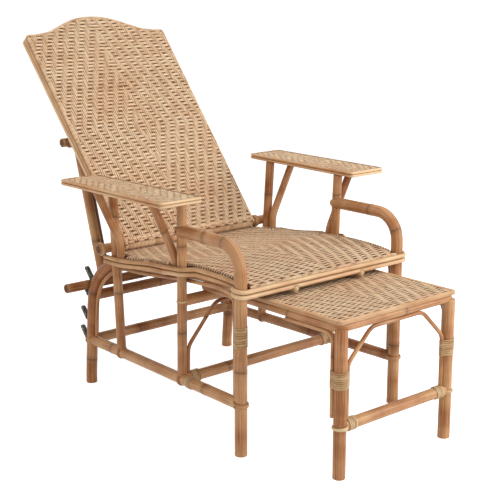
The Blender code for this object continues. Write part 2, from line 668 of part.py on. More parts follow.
def back_outline(margin):
    """Outline of the back in (x, s), from the right foot over the crest to the left foot."""
    shoulder = BACK_SHOULDER + margin
    bottom_half, top_half = BACK_BOTTOM_HALF + margin, BACK_TOP_HALF + margin
    bottom = PIVOT_ROD_DIAMETER / 2 + GAP
    crest = []
    for x in spread(CREST_HALF - BACK_CORNER / 2, 0.0, 9):
        swell = 0.5 + 0.5 * math.cos(math.pi * (x / CREST_HALF) ** CREST_FULLNESS)
        crest.append((x, shoulder + CREST_RISE * swell))
    corner = rounded([(bottom_half, bottom), (top_half, shoulder), crest[0]], BACK_CORNER, 5)[:-1]
    half = corner + crest
    return half + [(-x, s) for x, s in reversed(half[:-1])]


def build_back(pivot):
    rod_half = LOOP_X + LOOP_WIDTH / 2 + PIVOT_ROD_OVERHANG
    tube("back_pivot_rod", [(-rod_half, 0, 0), (rod_half, 0, 0)], PIVOT_ROD_DIAMETER, parent=pivot)
    tube("back_frame", [(x, s, 0.0) for x, s in back_outline(0.0)], BACK_POLE_DIAMETER, parent=pivot)
    pole_r = BACK_POLE_DIAMETER / 2
    outline = back_outline(pole_r)
    outline[0] = (outline[0][0], -BACK_PANEL_FOOT)
    outline[-1] = (outline[-1][0], -BACK_PANEL_FOOT)
    panel = plate("back_panel", [outline], BACK_PANEL_THICKNESS, WEAVE_LOOK, pivot)
    rod_front = max(pole_r, PIVOT_ROD_DIAMETER / 2)
    panel.location.z = rod_front + GAP + BACK_PANEL_THICKNESS / 2
    rail_t = -pole_r - CROSS_RAIL_DIAMETER / 2 - GAP
    cross_rail = [(-CROSS_RAIL_HALF, CROSS_RAIL_S, rail_t), (CROSS_RAIL_HALF, CROSS_RAIL_S, rail_t)]
    tube("back_cross_rail", cross_rail, CROSS_RAIL_DIAMETER, parent=pivot)
    return rail_t


def build_prop(pivot, rail_t):
    """Prop hinged behind the back: its bar lies in the hooks of the rear legs."""
    apart = CROSS_RAIL_DIAMETER / 2 + PROP_ROD_DIAMETER / 2 + GAP
    rod_s = CROSS_RAIL_S - apart * math.cos(PROP_ROD_BEARING)
    rod_t = rail_t - apart * math.sin(PROP_ROD_BEARING)
    y, z = bar_centre()
    rel = (y - PIVOT_Y, z - PIVOT_HEIGHT)
    bar_s = rel[0] * math.cos(BACK_ANGLE) + rel[1] * math.sin(BACK_ANGLE)
    bar_t = -rel[0] * math.sin(BACK_ANGLE) + rel[1] * math.cos(BACK_ANGLE)
    length = math.hypot(bar_s - rod_s, bar_t - rod_t)
    tilt = math.atan2(-(bar_t - rod_t), -(bar_s - rod_s))
    hinge = empty("prop_hinge", (0.0, rod_s, rod_t), pivot, tilt)
    rail_from_rod = (CROSS_RAIL_S - rod_s, rail_t - rod_t)
    sideways = -rail_from_rod[0] * math.sin(tilt) + rail_from_rod[1] * math.cos(tilt)
    setback = max(0.0, CROSS_RAIL_DIAMETER / 2 + PROP_LEG_DIAMETER / 2 + 2 * GAP - sideways)
    rod = [(-PROP_ROD_HALF, 0, 0), (PROP_ROD_HALF, 0, 0)]
    tube("prop_top_rod", rod, PROP_ROD_DIAMETER, parent=hinge)
    bar = [(-PROP_BAR_HALF, -length, 0), (PROP_BAR_HALF, -length, 0)]
    tube("prop_bar", bar, PROP_BAR_DIAMETER, parent=hinge)
    top = -PROP_ROD_DIAMETER / 2 - GAP
    low = -length + PROP_BAR_DIAMETER / 2 + GAP
    lean = PROP_LEG_DIAMETER / 2 * (PROP_LEG_LOW_X - PROP_LEG_TOP_X) / length
    leg = [(PROP_LEG_TOP_X, top - lean, -setback), (PROP_LEG_LOW_X, low + lean, 0.0)]
    for side, sign in SIDES:
        tube("prop_leg_" + side, sided(leg, sign), PROP_LEG_DIAMETER, parent=hinge)


def build_footrest():
    """Footrest in the frame of its own slide, whose origin is between its feet."""
    slide = empty("footrest_slide", (0.0, depth(-FOOTREST_REACH), 0.0))
    rail_r = FOOTREST_RAIL_DIAMETER / 2
    rail_z = SLIDE_BAR_HEIGHT + SLIDE_BAR_DIAMETER / 2 + GAP + rail_r
    tail = FOOTREST_REACH + FOOTREST_TAIL_DEPTH
    under_rail = rail_z - rail_r - THIN_R - GAP
    inner_x = FOOTREST_RAIL_X - rail_r - GAP
    leg_inner = FOOTREST_LEG_X - LEG_R - THIN_R - GAP
    leg_top = rail_z - rail_r - GAP

    def across(name, x, y, z, diameter):
        tube(name, [(-x, y, z), (x, y, z)], diameter, parent=slide)

    across("footrest_front_rail", inner_x, 0.0, rail_z, FOOTREST_RAIL_DIAMETER)
    across("footrest_rear_rail", inner_x, tail - rail_r, rail_z, FOOTREST_RAIL_DIAMETER)
    across("footrest_stretcher", FOOTREST_LEG_X - LEG_R - GAP, 0.0, FOOTREST_STRETCHER_HEIGHT,
           STRETCHER_DIAMETER)

    half = FOOTREST_RAIL_X + rail_r
    corners = [(half, tail / 2), (half, tail), (-half, tail), (-half, -FOOTREST_NOSE),
               (half, -FOOTREST_NOSE), (half, tail / 2)]
    outline = rounded(corners, FOOTREST_CORNER, 4)[:-1]
    panel = plate("footrest_panel", [outline], FOOTREST_PANEL_THICKNESS, WEAVE_LOOK, slide)
    panel.location.z = rail_z + rail_r + GAP + FOOTREST_PANEL_THICKNESS / 2

    brace_foot = FOOTREST_STRETCHER_HEIGHT + STRETCHER_R + 2 * GAP
    knee = rounded([(leg_inner, 0.0, brace_foot), (leg_inner, 0.0, FOOTREST_BRACE_BEND),
                    (FOOTREST_BRACE_TOP_X, 0.0, under_rail),
                    (FOOTREST_BRACE_END_X, 0.0, under_rail)], THIN_BEND)
    behind = math.sqrt((LEG_R + THIN_R + GAP) ** 2 - (FOOTREST_RAIL_X - FOOTREST_LEG_X) ** 2)
    side_brace = rounded([(FOOTREST_RAIL_X, behind, SIDE_BRACE_FOOT), (FOOTREST_RAIL_X, behind, under_rail),
                          (FOOTREST_RAIL_X, SIDE_BRACE_REACH, under_rail)], SIDE_BRACE_BEND)
    for side, sign in SIDES:
        rail = [(FOOTREST_RAIL_X, -FOOTREST_NOSE, rail_z), (FOOTREST_RAIL_X, tail, rail_z)]
        leg = [(FOOTREST_LEG_X, 0.0, 0.0), (FOOTREST_LEG_X, 0.0, leg_top)]
        tube("footrest_rail_" + side, sided(rail, sign), FOOTREST_RAIL_DIAMETER, parent=slide)
        tube("footrest_leg_" + side, sided(leg, sign), LEG_DIAMETER, parent=slide)
        thin_tube("footrest_front_brace_" + side, sided(knee, sign), slide)
        thin_tube("footrest_side_brace_" + side, sided(side_brace, sign), slide)


for old in list(bpy.data.objects):
    bpy.data.objects.remove(old, do_unlink=True)
collection = bpy.data.collections.new("rattan_chaise_longue")
guides = bpy.data.collections.new("guides")
bpy.context.scene.collection.children.link(collection)
bpy.context.scene.collection.children.link(guides)

build_legs()
build_stretchers()
build_thin_braces()
build_arms()
build_seat()
build_racks()
build_pivot_loops()
back_pivot = empty("back_pivot", (0.0, PIVOT_Y, PIVOT_HEIGHT), tilt=BACK_ANGLE)
build_prop(back_pivot, build_back(back_pivot))
build_footrest()
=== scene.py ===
"""Looks of a rattan chaise longue: peeled poles, panels woven of flat cane, cane bindings and steel hooks.

Metres, +Z up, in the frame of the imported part: the chair faces -Y and stands on z = 0.
"""
import functools
import json
import math

import bpy
import numpy as np
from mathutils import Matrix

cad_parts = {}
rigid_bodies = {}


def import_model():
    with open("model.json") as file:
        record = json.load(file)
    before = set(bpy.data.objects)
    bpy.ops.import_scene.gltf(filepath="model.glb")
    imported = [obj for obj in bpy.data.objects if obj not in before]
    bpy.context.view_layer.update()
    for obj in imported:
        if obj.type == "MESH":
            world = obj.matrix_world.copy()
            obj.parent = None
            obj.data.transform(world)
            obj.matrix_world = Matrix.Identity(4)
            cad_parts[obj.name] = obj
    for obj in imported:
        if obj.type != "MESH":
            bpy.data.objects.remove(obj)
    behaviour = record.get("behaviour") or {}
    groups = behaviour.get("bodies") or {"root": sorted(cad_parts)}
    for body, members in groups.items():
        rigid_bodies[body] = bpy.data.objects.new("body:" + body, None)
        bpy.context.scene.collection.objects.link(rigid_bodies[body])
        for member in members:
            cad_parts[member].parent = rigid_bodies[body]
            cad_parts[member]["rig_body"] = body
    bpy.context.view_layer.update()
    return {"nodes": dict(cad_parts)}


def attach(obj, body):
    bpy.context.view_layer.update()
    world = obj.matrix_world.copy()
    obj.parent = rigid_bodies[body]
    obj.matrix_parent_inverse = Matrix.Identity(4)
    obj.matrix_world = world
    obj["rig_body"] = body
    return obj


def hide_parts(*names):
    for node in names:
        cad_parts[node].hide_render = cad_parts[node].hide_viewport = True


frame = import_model()
NODES = frame["nodes"]

# Measures

PIVOT = np.array((0.0, 0.152628, 0.404))    # middle of the rod that the back turns on
BACK_LEAN = math.radians(49.95)             # angle of the back from level
UP_BACK = np.array((0.0, math.cos(BACK_LEAN), math.sin(BACK_LEAN)))
OUT_BACK = np.array((0.0, -math.sin(BACK_LEAN), math.cos(BACK_LEAN)))
ACROSS = np.array((1.0, 0.0, 0.0))
REARWARD = np.array((0.0, 1.0, 0.0))
UPRIGHT = np.array((0.0, 0.0, 1.0))
SIDES = (("right", -1.0), ("left", 1.0))    # each side's name and its sign in x

FRONT_LEG_X, FRONT_LEG_Y = 0.261, -0.3665
SEAT_PEAK = 0.419           # height of the seat's highest line
SEAT_PEAK_DEPTH = 0.15      # distance of that line behind the front legs
SEAT_FRONT, SEAT_REAR = -0.3812, 0.1610
FOOTREST_TOP = 0.3676

WARP_PITCH = 0.00533        # between strands that run up the back, close beside each other
WEFT_PITCH = 0.0115         # between strands that cross them, with a gap
TWILL = 6                   # strands in one repeat of the twill
CANE = 0.0011               # thickness of a strand

POLE_STEP = 0.004           # between places along a pole's middle
THICK_POLE = 0.008          # radius over which a pole has more sides and fewer rings of points
RING_GAP = 0.40             # between growth rings that aren't listed below
# Rings of points about a growth ring
RING_PLACES = np.array((-6.0, -3.0, -1.6, -0.8, 0.0, 0.8, 1.6, 3.0, 6.0)) / 1000.0

HOOK_HEIGHTS = (0.2855, 0.2445, 0.1775, 0.1220)
HOOK_LEAN = math.radians(48.0)

# Lengths by which a pole's start and end run into the poles that they are scribed to
SCRIBED = dict.fromkeys(("side_stretcher", "cross_stretcher", "rear_stretcher", "rear_upper_stretcher",
                         "slide_bar", "footrest_rear_rail", "footrest_stretcher"), (0.006, 0.006))
SCRIBED.update({
    "front_seat_rail": (0.004, 0.004), "back_seat_rail": (0.005, 0.005),
    "front_leg": (0.0, 0.007), "footrest_leg": (0.0, 0.009), "front_arm_post": (0.007, 0.0),
    "rear_arm_post": (0.007, 0.0), "prop_leg": (0.007, 0.007), "back_frame": (0.008, 0.008),
    "knee_brace": (0.003, 0.0), "front_arm_brace": (-0.012, 0.0),
})
SLIMMED = {"back_frame": 0.0105}    # radius of a pole whose outer side is covered by strips

# Growth rings: distances from a pole's lower, right or front end
RINGS = {
    "front_leg_right": (0.205, 0.527, 0.594), "front_leg_left": (0.16, 0.46, 0.56),
    "rear_leg_right": (0.0685, 0.262, 0.52), "rear_leg_left": (0.105, 0.31, 0.55),
    "front_arm_post_right": (0.114, 0.33), "front_arm_post_left": (0.19, 0.39),
    "rear_arm_post_right": (0.156, 0.36), "rear_arm_post_left": (0.21, 0.35),
    "footrest_leg_right": (), "footrest_leg_left": (), "footrest_stretcher": (),
}

# How light a pole is, 0 to 1, at its lower, right or front end and at its other end
# Set pole by pole to how light each looks, so besides the rattan's own differences they hold painted light
# and shade.
TONES = {
    "front_leg_right": (0.65, 0.6), "front_leg_left": (0.5, 0.5),
    "rear_leg_right": (0.2, 0.5), "rear_leg_left": (0.3, 0.3),
    "footrest_leg_right": (0.38, 0.38), "footrest_leg_left": (0.5, 0.5),
    "footrest_bent_rail": (0.6, 0.6), "footrest_stretcher": (0.7, 0.7),
    "front_arm_post_right": (0.25, 0.8), "prop_bar": (0.25, 0.25),
    "knee_brace_right": (0.3, 0.3), "knee_brace_left": (0.3, 0.3),
}


def unit(v):
    """Vectors brought to length 1."""
    return v / np.linalg.norm(v, axis=-1, keepdims=True)


def smooth_step(share):
    """0 to 1 with level ends: 3t^2 - 2t^3 of the clipped share."""
    share = np.clip(share, 0.0, 1.0)
    return share * share * (3.0 - 2.0 * share)


def bell(distance, width):
    """exp(-(distance / width)^2)"""
    return np.exp(-(distance / width) ** 2)


def circle(count):
    """Angles evenly round a circle."""
    return np.linspace(0.0, 2 * math.pi, count, endpoint=False)


def spokes(turn, u, w):
    """Directions at angles from u towards w."""
    return np.cos(turn)[:, None] * u + np.sin(turn)[:, None] * w


def lengths_along(points):
    """Distance of each point of a polyline from its start."""
    return np.concatenate([[0.0], np.cumsum(np.linalg.norm(np.diff(points, axis=0), axis=1))])


def at_lengths(wanted, known, rows):
    """Rows that are known at some lengths, at the lengths wanted."""
    return np.stack([np.interp(wanted, known, column) for column in rows.T], axis=1)


def joined(*columns):
    """Points from their coordinates, where a single number stands for all of them."""
    return np.stack(np.broadcast_arrays(*columns), axis=-1)


def seat_height(y):
    """Top of the seat: a cubic fall to the front edge, and a smooth one from the peak to the rear."""
    front_fall, front_length = 0.012, 0.165
    rear_fall, rear_length = 0.027, 0.345
    d = y - FRONT_LEG_Y
    front = SEAT_PEAK - front_fall * (np.clip(SEAT_PEAK_DEPTH - d, 0.0, None) / front_length) ** 3
    rear = SEAT_PEAK - rear_fall * smooth_step((d - SEAT_PEAK_DEPTH) / rear_length)
    return np.where(d < SEAT_PEAK_DEPTH, front, rear)


def band_side(y):
    """Middle of the seat band beside the seat: close to the rail in front, swung out over 35 mm round the
    arm posts, and drawn in between them by 12.5 mm sin^2."""
    rail, front_post, rear_post = 0.25, 0.2747, 0.2755
    post_front, swing = -0.1608, 0.035
    gap_front, gap_length, draw = -0.1162, 0.2072, 0.0125
    between_posts = (y - gap_front) / gap_length
    out = front_post + (rear_post - front_post) * smooth_step(between_posts)
    swung_out = rail + (out - rail) * smooth_step(1.0 - (post_front - y) / swing)
    drawn_in = out - draw * np.sin(math.pi * np.clip(between_posts, 0.0, 1.0)) ** 2
    return np.where(y < post_front, swung_out, drawn_in)


def seat_reach(y):
    """Half width of the seat's weave: to the rail, and on to the band where no post or brace is near."""
    rail, band_half = 0.2450, 0.0045
    clear_front, clear_rear, ease = -0.110, 0.080, 0.012
    clear = smooth_step((y - clear_front) / ease) * smooth_step((clear_rear - y) / ease)
    return rail + (band_side(y) - band_half - rail) * clear


def seat_weave_height(x, y):
    """Middle of the seat's weave: 2 mm under its top, curled down at the sides and rear by a square."""
    depth, side_curl, rear_curl = 0.002, 0.0025, 0.0037
    side_length, rear_start, rear_length = 0.012, 0.122, 0.030
    side = np.clip((np.abs(x) - seat_reach(y) + side_length) / side_length, 0.0, 1.0)
    rear = np.clip((y - rear_start) / rear_length, 0.0, 1.03)
    return seat_height(y) - depth - side_curl * side ** 2 - rear_curl * rear ** 2


def on_back(x, s, level):
    """Places on the back: x across, s up from the pivot and level out of its plane."""
    return x[..., None] * ACROSS + s[..., None] * UP_BACK + level * OUT_BACK + PIVOT


# Finishes

def linear(code):
    """sRGB hex to linear colour."""
    c = np.array([int(code[i:i + 2], 16) for i in (1, 3, 5)]) / 255.0
    return (*np.where(c <= 0.04045, c / 12.92, ((c + 0.055) / 1.055) ** 2.4), 1.0)


def add(tree, kind, settings=(), links=()):
    """One node with its settings, which are properties, sockets or a colour ramp, and its links from other
    outputs."""
    node = tree.nodes.new("ShaderNode" + kind)
    for key, value in dict(settings).items():
        if key == "ramp":
            stops = node.color_ramp.elements
            while len(stops) < len(value):
                stops.new(0.5)
            for stop, (place, colour) in zip(stops, value):
                stop.position = place
                stop.color = linear(colour)
        elif isinstance(key, str) and hasattr(node, key):
            setattr(node, key, value)
        else:
            node.inputs[key].default_value = value
    for key, source in dict(links).items():
        tree.links.new(node.inputs[key], source)
    return node


def new_material(name):
    """A material without nodes, and its node tree."""
    material = bpy.data.materials.new(name)
    material.use_nodes = True
    material.node_tree.nodes.clear()
    return material, material.node_tree


def rattan_finish(name, tones, stain_and_shade, cut, streak_mm, blotch_mm, rough, coat, contrast, relief_mm):
    """Rattan in any cut. Streaks of streak_mm run along the grain, patches of blotch_mm drift between the
    tones, and a cloud 130 mm wide turns some of it pinker. A strand's own tone, its dark marks and its cut
    ends come from the piece."""
    material, tree = new_material(name)
    grain = add(tree, "Attribute", {"attribute_name": "grain"}).outputs["Vector"]
    tone = add(tree, "Attribute", {"attribute_name": "tone"}).outputs["Fac"]
    mark = add(tree, "Attribute", {"attribute_name": "mark"}).outputs["Fac"]
    end = add(tree, "Attribute", {"attribute_name": "cut"}).outputs["Fac"]
    fine = 1000.0 / streak_mm
    streak_place = add(tree, "Mapping", {"Scale": (fine, fine, fine / 40.0)}, {"Vector": grain}).outputs[0]
    streak = add(tree, "TexNoise", {"Scale": 1.0, "Detail": 3.0, "Roughness": 0.6},
                 {"Vector": streak_place}).outputs["Fac"]
    broad = (400.0 / blotch_mm, 400.0 / blotch_mm, 1000.0 / blotch_mm)
    patch_place = add(tree, "Mapping", {"Scale": broad}, {"Vector": grain}).outputs[0]
    patch = add(tree, "TexNoise", {"Scale": 1.0, "Detail": 3.0}, {"Vector": patch_place}).outputs["Fac"]
    mixed = add(tree, "Math", {"operation": "MULTIPLY_ADD", 1: contrast}, {0: streak, 2: patch}).outputs[0]
    drift = add(tree, "Math", {"operation": "MULTIPLY_ADD", 1: 0.55}, {0: tone, 2: mixed}).outputs[0]
    level = add(tree, "MapRange", {"From Min": 0.45 + 0.5 * contrast - 0.24,
                                   "From Max": 0.85 + 0.5 * contrast + 0.16}, {"Value": drift}).outputs[0]
    colour = add(tree, "ValToRGB", {"ramp": tones}, {"Fac": level}).outputs[0]
    place = add(tree, "TexCoord").outputs["Object"]
    cloud = add(tree, "TexNoise", {"Scale": 1000.0 / 130.0, "Detail": 2.0}, {"Vector": place}).outputs["Fac"]
    blush = add(tree, "MapRange", {"From Min": 0.42, "From Max": 0.68, "To Max": 0.38},
                {"Value": cloud}).outputs[0]
    pinker = add(tree, "Mix", {"data_type": "RGBA", "blend_type": "MULTIPLY", 7: linear("#f3d2c4")},
                 {0: blush, 6: colour}).outputs[2]
    # Marks mix in the dark colour: real ring marks on poles, painted shade in dips, grooves and core sheets.
    stained_and_shaded = add(tree, "Mix", {"data_type": "RGBA", 7: linear(stain_and_shade)}, {0: mark, 6: pinker}).outputs[2]
    pores = add(tree, "TexVoronoi", {"Scale": 700.0}, {"Vector": grain}).outputs["Distance"]
    cut_grain = add(tree, "ValToRGB", {"ramp": [(0.15, cut[0]), (0.55, cut[1])]}, {"Fac": pores}).outputs[0]
    final = add(tree, "Mix", {"data_type": "RGBA"}, {0: end, 6: stained_and_shaded, 7: cut_grain}).outputs[2]
    satin = add(tree, "MapRange", {"To Min": rough - 0.07, "To Max": rough + 0.12},
                {"Value": streak}).outputs[0]
    dull = add(tree, "Math", {"operation": "MAXIMUM"}, {0: satin, 1: end}).outputs[0]
    bump = add(tree, "Bump", {"Strength": 0.35, "Distance": relief_mm / 1000.0},
               {"Height": streak}).outputs[0]
    skin = add(tree, "Math", {"operation": "MULTIPLY_ADD", 1: -coat, 2: coat}, {0: end}).outputs[0]
    shader = add(tree, "BsdfPrincipled", {"Specular IOR Level": 0.22, "Coat Roughness": 0.18},
                 {"Base Color": final, "Roughness": dull, "Normal": bump, "Coat Weight": skin})
    add(tree, "OutputMaterial", (), {"Surface": shader.outputs[0]})
    return material


# Rattan pole, peeled and clear lacquered: orange brown, long darker streaks, soft sheen, dark ring marks.
# The vessel lines are about 0.4 mm apart, too fine to show, so they are drawn 2.5 mm wide.
PEELED_POLE = rattan_finish(
    "peeled_rattan_pole", [(0.0, "#6a3816"), (0.45, "#9d6335"), (1.0, "#cd9e6f")], stain_and_shade="#43220c",
    cut=("#3a2618", "#7d5a40"), streak_mm=2.5, blotch_mm=70.0,
    rough=0.42, coat=0.16, contrast=1.0, relief_mm=0.25)
# Flat cane, the shaved core of the vine: pale gold, matt, each strand its own tone, painted shade where it
# dips.
WOVEN_CANE = rattan_finish(
    "woven_flat_cane", [(0.0, "#a87e58"), (0.5, "#d0aa83"), (1.0, "#edcfab")], stain_and_shade="#472106",
    cut=("#5c3f28", "#9c7853"), streak_mm=1.6, blotch_mm=30.0,
    rough=0.6, coat=0.0, contrast=0.7, relief_mm=0.15)
# Split half-round rattan: smooth yellow-brown skin with long even streaks and a slight gloss.
SPLIT_STRIP = rattan_finish(
    "split_rattan_strip", [(0.0, "#a57548"), (0.5, "#d0a274"), (1.0, "#e8c79e")], stain_and_shade="#4b2d18",
    cut=("#3c2a1c", "#84634a"), streak_mm=2.0, blotch_mm=70.0,
    rough=0.45, coat=0.10, contrast=0.8, relief_mm=0.2)
# Binding cane, the outer skin of the vine: straw coloured, thin and glossy, painted shade between the turns.
BINDING_CANE = rattan_finish(
    "binding_cane", [(0.0, "#96703f"), (0.5, "#bb9566"), (1.0, "#ddc094")], stain_and_shade="#4f331b",
    cut=("#4a3522", "#8d6d4a"), streak_mm=1.5, blotch_mm=25.0,
    rough=0.42, coat=0.15, contrast=0.6, relief_mm=0.15)


def steel_finish():
    """Oil-blackened mild steel, rolled flat: dark olive grey, satin, worn paler in patches of about 6 mm."""
    material, tree = new_material("blackened_mild_steel")
    place = add(tree, "TexCoord").outputs["Object"]
    wear = add(tree, "TexNoise", {"Scale": 1000.0 / 6.0, "Detail": 4.0, "Roughness": 0.7},
               {"Vector": place}).outputs["Fac"]
    colour = add(tree, "ValToRGB", {"ramp": [(0.36, "#2f2f2a"), (0.52, "#63625a"), (0.70, "#a3a096")]},
                 {"Fac": wear}).outputs[0]
    rough = add(tree, "MapRange", {"To Min": 0.32, "To Max": 0.6}, {"Value": wear}).outputs[0]
    bump = add(tree, "Bump", {"Strength": 0.2, "Distance": 0.0002}, {"Height": wear}).outputs[0]
    shader = add(tree, "BsdfPrincipled", {"Metallic": 0.7},
                 {"Base Color": colour, "Roughness": rough, "Normal": bump})
    add(tree, "OutputMaterial", (), {"Surface": shader.outputs[0]})
    return material


BLACK_STEEL = steel_finish()

# Surfaces

VALUES = ("tone", "mark", "cut")    # what a mesh carries at each point, beside its place in the grain


def run_faces(run, start):
    """Quads and end faces of a run whose first point has the number start. Quads join ring to ring, a face
    closes each end, and a strand that comes out inside out is turned round."""
    p = run["points"]
    b, n, m, _ = p.shape
    keep = run.get("keep", np.ones((b, n - 1), bool))
    index = start + np.arange(b * n * m).reshape(b, n, m)
    turned = np.roll(index, -1, axis=2)
    quads = np.stack([index[:, :-1], turned[:, :-1], turned[:, 1:], index[:, 1:]], axis=-1)
    centred = p - p.mean(axis=(1, 2))[:, None, None]
    beside = np.roll(centred, -1, axis=2)
    across = np.cross(beside[:, :-1] - centred[:, 1:], beside[:, 1:] - centred[:, :-1])
    facing = (across * (centred[:, :-1] + beside[:, 1:])).sum(-1)
    inside_out = (facing * keep[:, :, None]).sum(axis=(1, 2)) > 0
    quads[inside_out] = quads[inside_out][..., ::-1]
    strand = np.arange(b)
    first = keep.argmax(axis=1)
    last = n - 1 - keep[:, ::-1].argmax(axis=1)
    ends = np.concatenate([index[strand, first][:, ::-1], index[strand, last]])
    both = np.tile(inside_out, 2)
    ends[both] = ends[both][:, ::-1]
    return quads[keep].reshape(-1, 4), ends[np.tile(keep.any(axis=1), 2)].tolist()


def piece(name, runs, finish, body, stands_for=()):
    """Puts runs of closed rings into one mesh on a body. A run holds points (strands, stations, around, 3),
    the grain place of each point, its tone, mark and cut, and which steps between stations to keep."""
    places, grains, values, quads, caps, start = [], [], [], [], [], 0
    for run in runs:
        shape = run["points"].shape
        run_quads, run_caps = run_faces(run, start)
        quads.append(run_quads)
        caps += run_caps
        places.append(run["points"].reshape(-1, 3))
        grains.append(np.broadcast_to(run["grain"], shape).reshape(-1, 3))
        values.append(np.stack([np.broadcast_to(run.get(key, 0.0), shape[:3]).ravel() for key in VALUES]))
        start += math.prod(shape[:3])
    faces = np.concatenate(quads)
    used = np.unique(np.concatenate([faces.ravel(), np.concatenate(caps)]))
    number = np.zeros(start, int)
    number[used] = np.arange(len(used))
    end_faces = [number[np.array(cap)].tolist() for cap in caps]
    mesh = bpy.data.meshes.new(name)
    mesh.from_pydata(np.concatenate(places)[used].tolist(), [], number[faces].tolist() + end_faces)
    grain = np.concatenate(grains)[used].astype(np.float32)
    mesh.attributes.new("grain", "FLOAT_VECTOR", "POINT").data.foreach_set("vector", grain.ravel())
    for key, value in zip(VALUES, np.concatenate(values, axis=1)):
        mesh.attributes.new(key, "FLOAT", "POINT").data.foreach_set("value", value[used].astype(np.float32))
    mesh.polygons.foreach_set("use_smooth", np.arange(len(mesh.polygons)) < len(faces))
    mesh.materials.append(finish)
    mesh.update()
    made = bpy.data.objects.new(name, mesh)
    bpy.context.scene.collection.objects.link(made)
    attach(made, body)
    if stands_for:
        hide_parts(*stands_for)


def swept(line, section, across, up):
    """Points of a section, or of one for each place of a line: place + a * across + b * up."""
    return line[..., None, :] + section[..., :1] * across[..., None, :] + section[..., 1:] * up[..., None, :]


def grain_places(section, v):
    """Places in the wood: a section's own two measures, and the distance v along the grain."""
    shape = (*v.shape, section.shape[-2])
    along = np.broadcast_to(v[..., None, None], (*shape, 1))
    return np.concatenate([np.broadcast_to(section, (*shape, 2)), along], axis=-1)


def node_points(node):
    """Corners of a CAD solid's mesh."""
    mesh = NODES[node].data
    flat = np.zeros(len(mesh.vertices) * 3)
    mesh.vertices.foreach_get("co", flat)
    return flat.reshape(-1, 3)


def centre_line(node):
    """Middle of each ring of a round CAD pole, and its radius, from its lower, right or front end on. The
    rim of one end, where faces meet squarely, is ring 0, and each next ring is what the edges reach then."""
    mesh = NODES[node].data
    corner = np.zeros(len(mesh.loops), int)
    mesh.loops.foreach_get("vertex_index", corner)
    points, same = np.unique(node_points(node).round(6), axis=0, return_inverse=True)
    triangle = same.ravel()[corner].reshape(-1, 3)
    a, b, c = (points[triangle[:, k]] for k in range(3))
    normal = np.cross(b - a, c - a)
    normal /= np.linalg.norm(normal, axis=1, keepdims=True) + 1e-18
    edge = np.sort(np.concatenate([triangle[:, :2], triangle[:, 1:], triangle[:, [2, 0]]]), axis=1)
    order = np.lexsort(edge.T)
    edge = edge[order][::2]
    face = np.tile(np.arange(len(triangle)), 3)[order].reshape(-1, 2)
    square = (normal[face[:, 0]] * normal[face[:, 1]]).sum(1) < 0.4
    rim = np.unique(edge[square])
    level = np.full(len(points), -1)
    level[rim[np.linalg.norm(points[rim] - points[rim[0]], axis=1) < 0.05]] = 0
    while (level < 0).any():
        ends = level[edge]
        fresh = edge[(ends.max(1) == level.max()) & (ends.min(1) < 0)]
        if not len(fresh):
            break
        level[fresh[level[fresh] < 0]] = level.max() + 1
    count = np.bincount(level)
    middle = np.stack([np.bincount(level, points[:, k]) / count for k in range(3)], axis=1)
    radius = np.linalg.norm(points - middle[level], axis=1).mean()
    rise = middle[-1] - middle[0]
    upright = abs(rise[2]) > 0.02
    backwards = rise[2] < 0 if upright else rise[np.abs(rise[:2]).argmax()] < 0
    return (middle[::-1] if backwards else middle), radius


def even_path(points, step):
    """Distances and places along a polyline at even steps, each place averaged over three steps to either
    side, so that facets become bends; the ends are carried on straight so that they stay where they are."""
    run = lengths_along(points)
    at = np.linspace(0.0, run[-1], max(int(run[-1] / step), 8) + 1)
    path = at_lengths(at, run, points)
    weight = np.hanning(9)[1:-1]
    padded = np.concatenate([2 * path[0] - path[3:0:-1], path, 2 * path[-1] - path[-2:-5:-1]])
    even = [np.convolve(column, weight / weight.sum(), "valid") for column in padded.T]
    return at, np.stack(even, axis=1)


def normals_of(path):
    """Two normals of a path, which turn about the axis that the path keeps furthest from."""
    tangent = unit(np.gradient(path, axis=0))
    keep = np.eye(3)[np.abs(tangent).max(axis=0).argmin()]
    side = unit(np.cross(tangent, keep))
    return side, np.cross(tangent, side)


def number_of(name):
    """A steady whole number for a name, to seed its variation."""
    return sum((i + 1) * ord(c) for i, c in enumerate(name))


POLES = {}      # distances, places and radius of each pole made so far


def pole_stations(at, rings, thick):
    """Distances along a pole that get a ring of points: even ones, more about each growth ring, and three at
    each end for its face and rounded rim."""
    length = at[-1]
    rim = 0.0012
    close = (rings[:, None] + RING_PLACES).ravel()
    close = close[(close > POLE_STEP) & (close < length - POLE_STEP)]
    even = at[1:-1:2 if thick else 1]
    along = np.unique(np.concatenate([even, close, [rim, length - rim]]).round(5))
    return np.concatenate([[0.0, 0.0], along, [length, length]])


